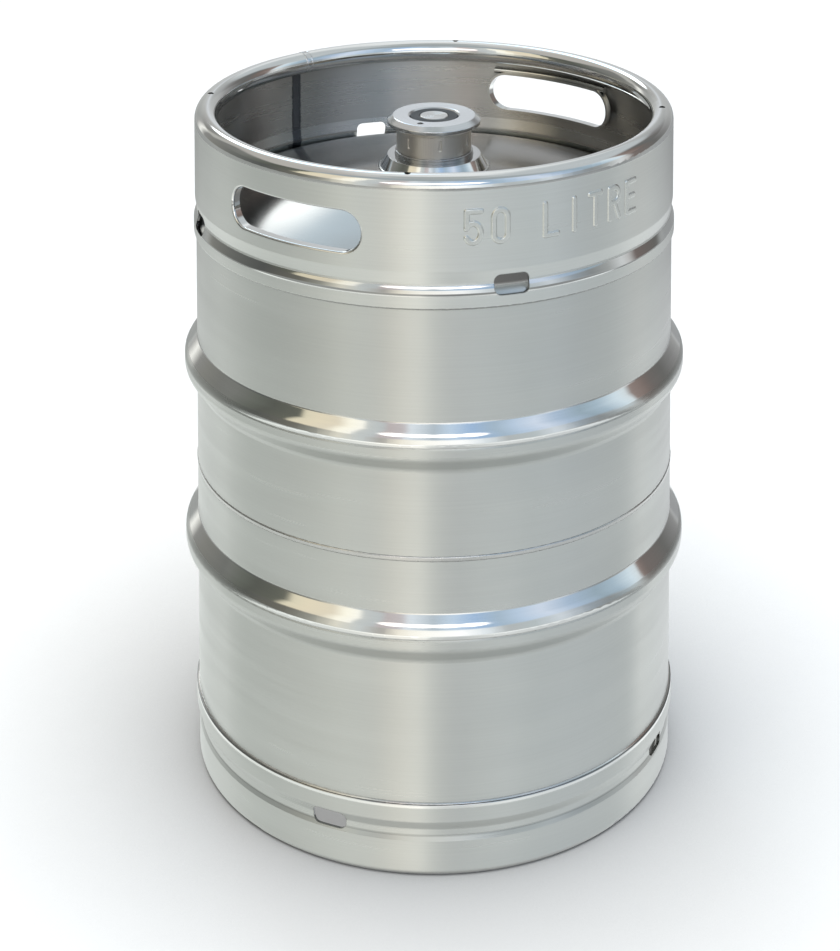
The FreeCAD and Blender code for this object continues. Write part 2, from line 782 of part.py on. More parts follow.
def valve_housing():
    """The extractor's housing: coupler flange, mouth, neck with key notches, barrel and seal groove."""
    body = new_body("valve_housing")
    groove_half = size["seal_groove_tall"] / 2
    groove_floor = size["neck_bore_radius"] - size["seal_section"] * 2
    turned(body, "housing", [
        (size["mouth_bevel_radius"], size["flange_height"]),
        (size["mouth_radius"], size["mouth_bevel_height"]),
        (size["mouth_radius"], size["seat_height"]),
        (size["barrel_bore_radius"], size["seat_height"]),
        (size["barrel_bore_radius"], size["retainer_ledge_height"]),
        (size["retainer_ledge_radius"], size["retainer_ledge_height"]),
        (size["retainer_ledge_radius"], size["barrel_bottom_height"]),
        (size["barrel_radius"], size["barrel_bottom_height"]),
        (size["barrel_radius"], size["seal_height"] - groove_half),
        (groove_floor, size["seal_height"] - groove_half),
        (groove_floor, size["seal_height"] + groove_half),
        (size["barrel_radius"], size["seal_height"] + groove_half),
        (size["barrel_radius"], size["housing_neck_bottom_height"]),
        (size["housing_neck_radius"], size["housing_neck_bottom_height"]),
        (size["housing_neck_radius"], size["housing_neck_top_height"]),
        (size["flange_radius"], size["flange_under_height"]),
        (size["flange_radius"], size["flange_bevel_height"]),
        (size["flange_flat_radius"], size["flange_height"]),
    ])
    notch = new_sketch(body, "key_notch_outline")
    turn_sketch(notch, size["notch_angle"], size["notch_floor_radius"])
    rounded_box(notch, size["notch_height"], size["notch_width"], size["notch_tall"], size["notch_corner"])
    key_notch = cut_through(body, "key_notch", notch, reversed_way=True, depth=size["notch_cut_depth"])
    repeated(body, "key_notches", key_notch, size["notch_count"])
    socket = new_sketch(body, "plug_socket_outline", "XY_Plane")
    lift_sketch(socket, size["flange_height"])
    across, along = polar(size["plug_place_radius"], size["plug_angle"])
    circle(socket, across, along, size["plug_radius"])
    cut_through(body, "plug_socket", socket, depth=size["plug_depth"])
    return body


def marker_plug():
    """The small round plug let into the flange."""
    plug = doc.addObject("Part::Cylinder", "marker_plug")
    plug.Label = "marker_plug"
    across, along = polar(size["plug_place_radius"], size["plug_angle"])
    plug.setExpression("Radius", size["plug_radius"].text)
    plug.setExpression("Height", size["plug_depth"].text)
    plug.setExpression(".Placement.Base.x", across.text)
    plug.setExpression(".Placement.Base.y", along.text)
    plug.setExpression(".Placement.Base.z", (size["flange_height"] - size["plug_depth"]).text)
    return plug


def gas_valve_rubber():
    """The rubber ring that closes the mouth from below and seals the coupler."""
    body = new_body("gas_valve_rubber")
    turned(body, "rubber", [
        (size["rubber_bore_radius"], size["valve_top_height"]),
        (size["rubber_bore_radius"], size["rubber_cone_top_height"]),
        (size["head_bore_radius"], size["rubber_cone_bottom_height"]),
        (size["head_bore_radius"], size["rubber_bottom_height"]),
        (size["rubber_flange_radius"], size["rubber_bottom_height"]),
        (size["rubber_flange_radius"], size["rubber_flange_height"]),
        (size["rubber_radius"], size["rubber_flange_height"]),
        (size["rubber_radius"], size["valve_top_height"]),
    ])
    return body


def gas_valve_insert():
    """The steel ring that backs the rubber."""
    body = new_body("gas_valve_insert")
    turned_box(body, "insert", size["head_bore_radius"], size["insert_radius"],
               size["insert_bottom_height"], size["rubber_bottom_height"], "Revolution")
    return body


def down_tube_head():
    """The turned head on the tube: spring flange, chamber for the beer valve, and socket."""
    body = new_body("down_tube_head")
    turned(body, "head", [
        (size["head_bore_radius"], size["insert_bottom_height"]),
        (size["head_bore_radius"], size["head_cone_top_height"]),
        (size["tube_radius"], size["tube_top_height"]),
        (size["tube_radius"], size["head_socket_height"]),
        (size["head_socket_radius"], size["head_socket_height"]),
        (size["head_socket_radius"], size["head_cone_bottom_height"]),
        (size["head_radius"], size["head_cone_top_height"]),
        (size["head_radius"], size["head_flange_height"]),
        (size["insert_radius"], size["head_flange_height"]),
        (size["insert_radius"], size["insert_bottom_height"]),
    ])
    return body


def down_tube():
    """The long tube that reaches down to the bottom crown."""
    body = new_body("down_tube")
    turned_box(body, "tube", size["tube_radius"] - size["tube_wall"], size["tube_radius"],
               size["tube_bottom_height"], size["tube_top_height"], "Revolution")
    return body


def perforated_disc(label, hub, outer, low, high, ports, port_radius, port_place):
    """A disc with a hub hole and a ring of round ports."""
    body = new_body(label)
    turned_box(body, label + "_disc", hub, outer, low, high, "Revolution")
    port = circle(new_sketch(body, label + "_port_outline", "XY_Plane"), port_place, ZERO, port_radius)
    repeated(body, label + "_ports", cut_through(body, label + "_port", port, both_ways=True), ports)
    return body


def spring_retainer():
    """The perforated disc at the barrel's bottom that holds the main spring and guides the tube."""
    low = size["retainer_ledge_height"]
    return perforated_disc("spring_retainer", size["retainer_bore_radius"], size["barrel_bore_radius"], low,
                           low + size["retainer_thick"], size["retainer_ports"],
                           size["retainer_port_radius"], size["retainer_port_place_radius"])


def beer_spring_seat():
    """The perforated disc in the tube's head that holds the small spring and guides the stem."""
    high = size["beer_seat_top_height"]
    return perforated_disc("beer_spring_seat", size["stem_radius"] + size["stem_clearance"],
                           size["head_bore_radius"], high - size["beer_seat_thick"], high,
                           size["beer_seat_ports"], size["beer_seat_port_radius"],
                           size["beer_seat_port_place_radius"])


def coil_spring(label, coil_radius, wire_radius, low, high, turns):
    """A round-wire compression spring that just fills the room between two levels."""
    body = new_body(label)
    start = low + wire_radius
    wire = circle(new_sketch(body, label + "_wire"), coil_radius, start, wire_radius)
    rise = high - low - wire_radius * 2
    coil = body.newObject("PartDesign::AdditiveHelix", label + "_coil")
    coil.Profile = wire
    coil.ReferenceAxis = (wire, ["V_Axis"])
    coil.Mode = "height-turns-angle"
    coil.setExpression("Height", rise.text)
    coil.setExpression("Turns", turns.text)
    doc.recompute()
    return body


def main_spring():
    """The spring that holds the gas valve shut."""
    return coil_spring("main_spring", size["main_coil_radius"], size["main_wire_radius"],
                       size["retainer_ledge_height"] + size["retainer_thick"], size["head_flange_height"],
                       size["main_turns"])


def beer_valve_spring():
    """The spring that holds the beer valve shut."""
    return coil_spring("beer_valve_spring", size["beer_coil_radius"], size["beer_wire_radius"],
                       size["beer_seat_top_height"], size["piston_bottom_height"], size["beer_turns"])


def beer_valve_piston():
    """The steel disc in the middle of the valve, with its sealing cone and its stem."""
    body = new_body("beer_valve_piston")
    gap = size["piston_cone_gap"]
    turned(body, "piston", [
        (ZERO, size["piston_top_height"]),
        (ZERO, size["stem_bottom_height"]),
        (size["stem_radius"], size["stem_bottom_height"]),
        (size["stem_radius"], size["piston_bottom_height"]),
        (size["piston_cone_radius"], size["piston_bottom_height"]),
        (size["piston_cone_radius"], size["rubber_cone_bottom_height"] - gap),
        (size["piston_radius"], size["rubber_cone_top_height"] - gap * 2),
        (size["piston_radius"], size["piston_top_height"] - size["piston_bevel"]),
        (size["piston_radius"] - size["piston_bevel"], size["piston_top_height"]),
    ])
    return body


def chime_seam(label, inner, outer, low, high):
    """The butt weld of a chime's ring: a thin strip up its inner face and another up its outer face."""
    body = new_body(label)
    strips = (
        ("inner", inner - size["seam_rise"], inner),
        ("outer", outer, outer + size["seam_outer_rise"]),
    )
    for side, near, far in strips:
        sketch = new_sketch(body, "%s_%s_outline" % (label, side))
        turn_sketch(sketch, size["seam_angle"] - 90)
        outline(sketch, [(near, low), (far, low), (far, high), (near, high)])
        strip = body.newObject("PartDesign::Revolution", "%s_%s" % (label, side))
        strip.Profile = sketch
        strip.ReferenceAxis = (sketch, ["V_Axis"])
        strip.Midplane = True
        strip.setExpression("Angle", size["seam_span"].text)
        doc.recompute()
    return body


def top_chime_seam():
    """The butt weld of the top chime."""
    skirt = size["skirt_radius"]
    return chime_seam("top_chime_seam", skirt - size["chime_sheet"], skirt, size["seam_bottom_height"],
                      size["seam_top_height"])


def bottom_chime_seam():
    """The butt weld of the bottom chime."""
    skirt = size["foot_skirt_radius"]
    return chime_seam("bottom_chime_seam", skirt - size["chime_sheet"], skirt,
                      size["foot_seam_bottom_height"], size["foot_skirt_top_height"])


def top_chime_weld():
    """The weld along the top chime's sleeve."""
    return sleeve_weld("top_chime_weld", size["sleeve_bottom_height"], False)


def bottom_chime_weld():
    """The weld along the bottom chime's sleeve."""
    return sleeve_weld("bottom_chime_weld", size["foot_sleeve_top_height"], True)


PIECES = (
    upper_shell, lower_shell, girth_weld, top_chime, top_chime_weld, top_chime_seam,
    bottom_chime, bottom_chime_weld, bottom_chime_seam, neck_fitting, neck_weld, neck_seal,
    locking_ring, valve_housing, marker_plug, spring_retainer, main_spring, gas_valve_rubber,
    gas_valve_insert, down_tube_head, down_tube, beer_spring_seat, beer_valve_spring, beer_valve_piston,
)


def check_document(pieces):
    """Stops if anything in the document failed or if a piece has no sound shape."""
    for item in doc.Objects:
        if "Invalid" in item.State or "Error" in item.State:
            raise ValueError("%s failed: %s" % (item.Name, item.State))
    for piece in pieces:
        if piece.Shape.isNull() or not piece.Shape.isValid():
            raise ValueError(piece.Label + " has no sound shape")


made = [piece() for piece in PIECES]
doc.recompute()
check_document(made)
os.makedirs("parts", exist_ok=True)
for piece in made:
    piece.Shape.exportStep("parts/%s.step" % piece.Label)
    box = piece.Shape.BoundBox
    print("%-20s %d solids  %10.1f mm3  z %.2f to %.2f" % (
        piece.Label, len(piece.Shape.Solids), piece.Shape.Volume, box.ZMin, box.ZMax))
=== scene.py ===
"""The looks of a 50 litre steel beer keg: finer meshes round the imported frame, steel and rubber materials,
a pale floor, soft studio light and a camera. Lengths are in metres; an angle round the keg is counted in
degrees from the front (-Y) towards +X.
"""

import math

import bpy
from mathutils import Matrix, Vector


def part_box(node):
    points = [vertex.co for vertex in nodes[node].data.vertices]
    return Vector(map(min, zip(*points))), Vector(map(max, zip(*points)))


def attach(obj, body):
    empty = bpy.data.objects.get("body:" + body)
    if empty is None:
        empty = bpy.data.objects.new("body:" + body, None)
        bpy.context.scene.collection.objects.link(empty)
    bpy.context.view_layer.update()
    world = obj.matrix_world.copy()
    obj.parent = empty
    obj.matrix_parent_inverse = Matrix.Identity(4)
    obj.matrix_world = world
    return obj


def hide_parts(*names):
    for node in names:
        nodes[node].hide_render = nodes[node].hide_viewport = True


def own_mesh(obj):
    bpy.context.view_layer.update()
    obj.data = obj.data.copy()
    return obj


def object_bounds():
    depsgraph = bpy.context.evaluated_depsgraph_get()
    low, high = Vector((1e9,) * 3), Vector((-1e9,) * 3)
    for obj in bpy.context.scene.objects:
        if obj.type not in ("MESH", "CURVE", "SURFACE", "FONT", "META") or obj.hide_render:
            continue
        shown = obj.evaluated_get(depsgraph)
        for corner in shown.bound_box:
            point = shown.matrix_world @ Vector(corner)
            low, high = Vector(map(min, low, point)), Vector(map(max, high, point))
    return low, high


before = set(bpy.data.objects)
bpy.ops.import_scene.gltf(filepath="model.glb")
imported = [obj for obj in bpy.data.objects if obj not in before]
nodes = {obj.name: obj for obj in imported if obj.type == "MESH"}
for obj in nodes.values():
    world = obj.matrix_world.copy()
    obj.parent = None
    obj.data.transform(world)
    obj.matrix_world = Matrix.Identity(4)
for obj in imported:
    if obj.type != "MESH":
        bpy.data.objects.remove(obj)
cad_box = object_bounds()

MM = 0.001
KEG_TOP = cad_box[1].z


# ---------------------------------------------------------------- node material helpers

def opaque(colour):
    """A plain colour with its alpha; a node's output stays as it is."""
    return colour if isinstance(colour, bpy.types.NodeSocket) else (*colour, 1.0)


class Nodes:
    """Short calls that add and link shader nodes of one tree."""

    def __init__(self, tree):
        self.tree = tree
        tree.nodes.clear()

    def add(self, kind, **settings):
        node = self.tree.nodes.new(kind)
        for key, value in settings.items():
            setattr(node, key, value)
        return node

    def feed(self, socket, value):
        if isinstance(value, bpy.types.NodeSocket):
            self.tree.links.new(value, socket)
        elif value is not None:
            socket.default_value = value

    def math(self, operation, first, second=None):
        node = self.add("ShaderNodeMath", operation=operation)
        self.feed(node.inputs[0], first)
        self.feed(node.inputs[1], second)
        return node.outputs[0]

    def times(self, product, *factors):
        for factor in factors:
            product = self.math("MULTIPLY", product, factor)
        return product

    def length(self, x, y):
        return self.math("SQRT", self.math("ADD", self.times(x, x), self.times(y, y)))

    def map_range(self, value, low, high, to_low=0.0, to_high=1.0, smooth=True):
        node = self.add("ShaderNodeMapRange", interpolation_type="SMOOTHSTEP" if smooth else "LINEAR")
        for socket, number in zip(node.inputs, (value, low, high, to_low, to_high)):
            self.feed(socket, number)
        return node.outputs[0]

    def mix_colour(self, factor, first, second, blend="MIX"):
        node = self.add("ShaderNodeMix", data_type="RGBA", blend_type=blend)
        self.feed(node.inputs[0], factor)
        self.feed(node.inputs[6], opaque(first))
        self.feed(node.inputs[7], opaque(second))
        return node.outputs[2]

    def darken(self, colour, shade):
        return self.mix_colour(1.0, colour, self.vector(shade, shade, shade), "MULTIPLY")

    def mix_value(self, factor, first, second):
        node = self.add("ShaderNodeMix", data_type="FLOAT")
        self.feed(node.inputs[0], factor)
        self.feed(node.inputs[2], first)
        self.feed(node.inputs[3], second)
        return node.outputs[0]

    def xyz(self, vector):
        node = self.add("ShaderNodeSeparateXYZ")
        self.feed(node.inputs[0], vector)
        return node.outputs

    def vector(self, x, y, z):
        node = self.add("ShaderNodeCombineXYZ")
        for socket, value in zip(node.inputs, (x, y, z)):
            self.feed(socket, value)
        return node.outputs[0]

    def dot(self, first, second):
        node = self.add("ShaderNodeVectorMath", operation="DOT_PRODUCT")
        self.feed(node.inputs[0], first)
        self.feed(node.inputs[1], second)
        return node.outputs["Value"]

    def noise(self, vector, scale, detail=3.0, roughness=0.55):
        node = self.add("ShaderNodeTexNoise")
        self.feed(node.inputs["Vector"], vector)
        node.inputs["Scale"].default_value = scale
        node.inputs["Detail"].default_value = detail
        node.inputs["Roughness"].default_value = roughness
        return node.outputs[0]

    def ramp(self, value, stops):
        node = self.add("ShaderNodeValToRGB")
        elements = node.color_ramp.elements
        node.color_ramp.interpolation = "LINEAR"
        while len(elements) > 1:
            elements.remove(elements[-1])
        for index, (place, colour) in enumerate(stops):
            element = elements[0] if index == 0 else elements.new(place)
            element.position = place
            element.color = opaque(colour)
        self.feed(node.inputs[0], value)
        return node.outputs[0]

    def openness(self, distance, samples):
        """1 where nothing is near and 0 in a crevice, looking as far as a distance."""
        node = self.add("ShaderNodeAmbientOcclusion", samples=samples)
        node.inputs["Distance"].default_value = distance
        return node.outputs["AO"]

    def rounded_normal(self, radius):
        """The normal with sharp edges rounded by a radius."""
        node = self.add("ShaderNodeBevel", samples=4)
        node.inputs["Radius"].default_value = radius
        return node.outputs[0]

    def bump(self, height, distance, strength=1.0, normal=None):
        node = self.add("ShaderNodeBump")
        node.inputs["Distance"].default_value = distance
        self.feed(node.inputs["Strength"], strength)
        self.feed(node.inputs["Height"], height)
        self.feed(node.inputs["Normal"], normal)
        return node.outputs[0]

    def band(self, height, low, high, edge):
        """1 between two heights and 0 outside, with soft edges."""
        rise = self.map_range(height, low - edge, low + edge)
        fall = self.map_range(height, high - edge, high + edge, 1.0, 0.0)
        return self.times(rise, fall)

    def strongest(self, masks):
        """The highest of any number of masks."""
        total = self.math("ADD", 0.0, 0.0)
        for mask in masks:
            total = self.math("MAXIMUM", total, mask)
        return total


class Surface:
    """A material in the making, and where on the keg the shaded point lies."""

    def __init__(self, name):
        self.material = bpy.data.materials.new(name)
        self.material.use_nodes = True
        self.n = n = Nodes(self.material.node_tree)
        self.place = n.add("ShaderNodeTexCoord").outputs["Object"]
        self.x, self.y, self.z = n.xyz(self.place)
        self.radius = n.length(self.x, self.y)
        self.forward = n.times(self.y, -1.0)

    def normal(self):
        return self.n.add("ShaderNodeNewGeometry").outputs["Normal"]

    def outward(self):
        """1 where the surface faces away from the keg's axis, -1 where it faces the axis."""
        n = self.n
        facing = n.xyz(self.normal())
        along_radius = n.math("ADD", n.times(facing[0], self.x), n.times(facing[1], self.y))
        return n.math("DIVIDE", along_radius, n.math("MAXIMUM", self.radius, MM))

    def upward(self):
        """1 on level faces that look up."""
        return self.n.xyz(self.normal())[2]

    def turn(self):
        """The angle round the keg, in radians."""
        return self.n.math("ARCTAN2", self.x, self.forward)

    def stretched(self, around, upward):
        """A place for noise whose pattern is drawn out round the keg, by its scales around and upward."""
        n = self.n
        return n.vector(n.times(self.x, around), n.times(self.y, around), n.times(self.z, upward))

    def finish(self, shader):
        n = self.n
        n.feed(n.add("ShaderNodeOutputMaterial").inputs["Surface"], shader.outputs[0])
        return self.material

    def finish_metal(self, colour, roughness, stretch, normal):
        """Bare metal whose highlights are drawn out round the keg by a stretch."""
        n = self.n
        shader = n.add("ShaderNodeBsdfPrincipled")
        shader.inputs["Metallic"].default_value = 1.0
        n.feed(shader.inputs["Base Color"], colour)
        n.feed(shader.inputs["Roughness"], roughness)
        n.feed(shader.inputs["Anisotropic"], stretch)
        shader.inputs["Anisotropic Rotation"].default_value = 0.25
        tangent = n.add("ShaderNodeTangent", direction_type="RADIAL", axis="Z").outputs[0]
        n.feed(shader.inputs["Tangent"], tangent)
        n.feed(shader.inputs["Normal"], normal)
        return self.finish(shader)


# ---------------------------------------------------------------- brushed steel

SATIN = (0.70, 0.715, 0.695)
# the inner wall's satin is painted lighter and warmer, the drawn head's painted darker for the dark inside
# that it reflects
INNER_SATIN_PAINTED_LIGHTER = (0.78, 0.765, 0.735)
HEAD_SATIN_PAINTED_DARKER = (0.38, 0.365, 0.35)
HEAT_TINT = (0.13, 0.135, 0.15)
POLISHED = (0.87, 0.875, 0.865)
BRUSH_DEPTH = 0.03 * MM
SHOULDER_RING = (0.1755, 0.1865)
# what is left of the steel's brightness where painted shade darkens it
SHOULDER_LEFT = 0.45
DRAIN_RIM_LEFT = 0.30
EDGE_LEFT = 0.28
CREASE_LEFT = 0.78
CREVICE_LEFT = 0.66


def front_mask(s):
    """1 in front, fading to 0 at 57 degrees to either side."""
    return s.n.map_range(s.n.math("DIVIDE", s.forward, s.radius), 0.55, 0.93)


def polished_parts(s, bands, rims, rolled_rim):
    """Bands of height, the rims of openings and the inner side of the rolled rim from a height on."""
    n = s.n
    masks = [n.band(s.z, low, high, edge) for low, high, edge in bands]
    if rims is not None:
        masks.append(rims)
    if rolled_rim:
        masks.append(n.times(n.map_range(s.z, rolled_rim - 0.0005, rolled_rim + 0.0005),
                             n.map_range(s.radius, 0.1915, 0.1925, 1.0, 0.0)))
    return n.strongest(masks)


def satin_at_the_sides(s, crests, front):
    """0 on the crests at the sides and behind, 1 elsewhere."""
    n = s.n
    crest = n.strongest([n.band(s.z, low, high, 0.0004) for low, high in crests])
    return n.math("SUBTRACT", 1.0, n.times(crest, n.math("SUBTRACT", 1.0, front)))


def drawn_head(s, head_height):
    """1 on the head of the vessel, which lies inside the chime above a height."""
    n = s.n
    return n.times(n.map_range(s.z, head_height - 0.001, head_height + 0.001),
                   n.map_range(s.radius, 0.186, 0.190, 1.0, 0.0))


def shoulder_shade(s, head):
    """The head's outer ring is darker in its front half: painted shade for the dark wall in front that it
    reflects.
    """
    n = s.n
    shoulder = n.times(head, n.band(s.radius, *SHOULDER_RING, 0.0015),
                       n.map_range(s.y, -0.10, -0.02, 1.0, 0.0))
    return n.mix_value(shoulder, 1.0, SHOULDER_LEFT)


def inner_wall_shade(s, satin_inside):
    """Painted light and shade: the inner wall grows brighter towards the back, a little to the right of its
    middle.
    """
    n = s.n
    leaning = n.map_range(s.x, -0.05, 0.05, 0.97, 1.0)
    behind = n.math("DIVIDE", n.times(s.y, leaning), s.radius)
    return n.mix_value(satin_inside, 1.0, n.map_range(behind, 0.80, 0.99, 0.66, 1.24))


def drain_rim_shade(s, rims, below):
    """Painted shade: the rims of openings are dark below a height."""
    n = s.n
    drain_rims = n.times(rims, n.map_range(s.z, below - 0.001, below, 1.0, 0.0))
    return n.mix_value(drain_rims, 1.0, DRAIN_RIM_LEFT)


def edge_shade(s, low, high):
    """Painted shade: sharp edges between two heights are dark, where the rounded normal leaves the real one.
    """
    n = s.n
    agreement = n.dot(n.rounded_normal(1.2 * MM), s.normal())
    edges = n.times(n.map_range(agreement, 0.86, 0.985, 1.0, 0.0), n.band(s.z, low, high, 0.0003))
    return n.mix_value(edges, 1.0, EDGE_LEFT)


def heat_tint(s, inside, angle, half_width, low, high):
    """The tinted, uneven strip of a butt weld on the inner wall; angle and half width are in degrees."""
    n = s.n
    aside = n.math("ABSOLUTE", n.math("SUBTRACT", s.turn(), math.radians(angle)))
    uneven = n.times(n.math("SUBTRACT", n.noise(s.place, 160.0), 0.5), math.radians(0.5))
    near = n.map_range(n.math("ADD", aside, uneven), math.radians(half_width - 0.15),
                       math.radians(half_width + 0.25), 1.0, 0.0)
    return n.times(near, inside, n.band(s.z, low, high, 0.001))


def rounded_flanks(s, bends, front):
    """The normal of flanks that bend inwards from one height to another by a depth. It shows in front only,
    where the light comes down the flanks."""
    n = s.n
    sunk = n.math("ADD", 0.0, 0.0)
    for start, end, depth in bends:
        share = n.map_range(s.z, start, end, smooth=False)
        sunk = n.math("ADD", sunk, n.times(share, share, -depth))
    return n.bump(n.times(sunk, front), distance=1.0)


def steel_material(name, tone=1.0, satin_roughness=0.30, polished_bands=(), satin_crests=(), rim_tilt=None,
                   rolled_rim=None, head_height=None, rim_shade=None, crease=None, outlined=None, bends=(),
                   seam=None):
    """Stainless steel brushed round the keg's axis. tone multiplies the satin outside. It is polished in
    polished_bands of height (on satin_crests in front only), on the rims of openings, which face less than
    rim_tilt away from the axis or towards it, and on the inner side of the rolled rim above a height. The
    drawn head starts at head_height; its satin is painted darker and the inner wall's painted lighter.
    Painted shade darkens crevices, rims of openings below rim_shade, a crease and the edges between the
    outlined heights; bends round flanks off, and seam is the heat-tinted strip of a butt weld."""
    s = Surface(name)
    n = s.n
    outward = s.outward()
    front = front_mask(s)
    rims = None
    if rim_tilt:
        rims = n.map_range(n.math("ABSOLUTE", outward), rim_tilt - 0.07, rim_tilt, 1.0, 0.0)
    polish = polished_parts(s, polished_bands, rims, rolled_rim)
    if satin_crests:
        polish = n.times(polish, satin_at_the_sides(s, satin_crests, front))
    inside = n.map_range(outward, -0.3, 0.1, 1.0, 0.0)
    # inside, the satin is painted lighter; on the drawn head it is painted darker
    inner_painted_satin, inner_gloss = INNER_SATIN_PAINTED_LIGHTER, 0.02
    if head_height:
        head = drawn_head(s, head_height)
        inside = n.math("MAXIMUM", inside, head)
        inner_painted_satin, inner_gloss = HEAD_SATIN_PAINTED_DARKER, 0.07

    # brush lines run round the keg, so the noise is drawn out along the circumference
    lines = n.noise(s.stretched(6.0, 620.0), 1.0, 3.0, 0.65)
    broad = n.noise(s.stretched(3.0, 40.0), 1.0, 3.0, 0.6)
    blotch = n.noise(s.place, 9.0, 4.0, 0.6)

    # blotches and brush lines vary the tone at random; the openness paints shade within 8 mm of another wall
    shades = [n.map_range(blotch, 0.3, 0.7, 0.985, 1.015), n.map_range(lines, 0.25, 0.75, 0.98, 1.02),
              n.map_range(n.openness(8 * MM, samples=4), 0.30, 0.80, CREVICE_LEFT, 1.0)]
    # painted shade along the crease in the foot's groove
    if crease:
        shades.append(n.map_range(n.band(s.z, *crease), 0.0, 1.0, 1.0, CREASE_LEFT))
    if head_height:
        shades.append(shoulder_shade(s, head))
    else:
        shades.append(inner_wall_shade(s, n.times(inside, n.math("SUBTRACT", 1.0, polish))))
    if rim_shade:
        shades.append(drain_rim_shade(s, rims, rim_shade))
    if outlined:
        shades.append(edge_shade(s, *outlined))
    satin = n.mix_colour(inside, tuple(part * tone for part in SATIN), inner_painted_satin)
    colour = n.darken(n.mix_colour(polish, satin, POLISHED), n.times(*shades))
    if seam:
        colour = n.mix_colour(heat_tint(s, inside, *seam), colour, HEAT_TINT)

    fewer_inside = n.math("SUBTRACT", 1.0, n.times(inside, 0.8))
    rough = n.math("ADD", n.map_range(broad, 0.3, 0.7, satin_roughness - 0.02, satin_roughness + 0.02),
                   n.times(n.map_range(lines, 0.3, 0.7, -0.015, 0.02), fewer_inside))
    rough = n.mix_value(inside, rough, n.math("SUBTRACT", rough, inner_gloss))
    rough = n.mix_value(polish, rough, n.map_range(blotch, 0.35, 0.7, 0.06, 0.09))

    line_strength = n.mix_value(polish, n.mix_value(inside, 0.12, 0.003), 0.02)
    flanks = rounded_flanks(s, bends, front) if bends else None
    normal = n.bump(lines, BRUSH_DEPTH, line_strength, flanks)
    return s.finish_metal(colour, rough, n.mix_value(polish, 0.9, 0.0), normal)


# ---------------------------------------------------------------- turned steel, rubber and plastic

# the colour below upright_below, painted lighter and warmer than the turned steel
UPRIGHT_PAINTED_LIGHT = (0.98, 0.94, 0.88)


def turned_material(name, colour=(0.80, 0.80, 0.79), roughness=0.22, pitch=1600.0, depth=0.35,
                    upright_below=None, edge_round=0.6 * MM, spin=0.6, ledge_shade=1.0, outer_colour=None):
    """Steel turned on a lathe about the keg's axis: fine rings on level faces and round the sides, or an
    upright, duller grain below a height, whose colour is painted lighter and warmer. Sharp edges catch the
    light as if they were broken by edge_round, level ledges are darkened by ledge_shade as painted shade, and
    outer_colour is the colour of faces that look away from the axis where it differs."""
    s = Surface(name)
    n = s.n
    rings = n.noise(n.vector(n.times(s.radius, pitch), n.times(s.z, pitch), 0.0), 1.0, 2.0)
    upright = 0.0
    if upright_below:
        grain = n.noise(n.vector(n.times(s.turn(), 45.0), n.times(s.z, 20.0), 0.0), 1.0, 3.0)
        upright = n.map_range(s.z, upright_below - 0.0003, upright_below, 1.0, 0.0)
        rings = n.mix_value(upright, rings, grain)
    tone = n.mix_colour(upright, colour, UPRIGHT_PAINTED_LIGHT)
    if outer_colour:
        tone = n.mix_colour(n.map_range(s.outward(), 0.0, 0.3), tone, outer_colour)
    # level ledges are darkened as painted shade by ledge_shade
    shade = n.times(n.map_range(rings, 0.3, 0.7, 0.94, 1.03),
                    n.map_range(s.upward(), 0.92, 0.97, 1.0, ledge_shade))
    wear = n.noise(s.place, 60.0, 4.0, 0.6)
    dull = n.map_range(wear, 0.3, 0.7, roughness - 0.02, roughness + 0.03)
    normal = n.bump(rings, BRUSH_DEPTH, depth, n.rounded_normal(edge_round))
    return s.finish_metal(n.darken(tone, shade), n.mix_value(upright, dull, 0.40), spin, normal)


def soft_material(name, dark, light, roughness):
    """Moulded rubber or plastic with a fine grain and broader wear."""
    s = Surface(name)
    n = s.n
    grain = n.noise(s.place, 900.0, 4.0, 0.6)
    wear = n.noise(s.place, 54.0, 3.0, 0.5)
    shader = n.add("ShaderNodeBsdfPrincipled")
    n.feed(shader.inputs["Base Color"], n.mix_colour(n.map_range(wear, 0.3, 0.7), dark, light))
    n.feed(shader.inputs["Roughness"], n.map_range(grain, 0.3, 0.7, roughness - 0.06, roughness + 0.06))
    shader.inputs["Specular IOR Level"].default_value = 0.3
    n.feed(shader.inputs["Normal"], n.bump(grain, 0.05 * MM, 0.3))
    return s.finish(shader)


# ---------------------------------------------------------------- mesh helpers
# Sizes of pieces are in millimetres. A section is a list of (radius, height, normal outwards, normal upwards)
# that runs with the steel on its left, so an outer wall goes up.

TURN = 2 * math.pi
COLUMNS = 240
CORNER_STEP = 15.0


def on_keg(radius, angle, height):
    """A place given by radius, angle in radians from the front, and height."""
    return Vector((radius * math.sin(angle), -radius * math.cos(angle), height)) * MM


def faced(angle, across, up):
    """A direction across the keg's axis at an angle, and up."""
    return Vector((across * math.sin(angle), -across * math.cos(angle), up))


def limited(value, low=0.0, high=1.0):
    return min(max(value, low), high)


def rounded_section(corners):
    """A closed section through (radius, height, round) corners."""
    points = []
    for index, (across, up, bend) in enumerate(corners):
        here = Vector((across, up))
        first = (here - Vector(corners[index - 1][:2])).normalized()
        second = (Vector(corners[(index + 1) % len(corners)][:2]) - here).normalized()
        turn = math.atan2(first.x * second.y - first.y * second.x, first.dot(second))
        side = 1 if turn > 0 else -1
        start = here - first * bend * math.tan(abs(turn) / 2)
        centre = start - Vector((first.y, -first.x)) * bend * side
        angle = math.atan2(-first.x, first.y)
        count = max(2, math.ceil(math.degrees(abs(turn)) / CORNER_STEP))
        for part in range(count + 1):
            lean = angle + turn * part / count
            normal = Vector((math.cos(lean), math.sin(lean)))
            place = centre + normal * bend * side
            points.append((place.x, place.y, normal.x, normal.y))
    return points


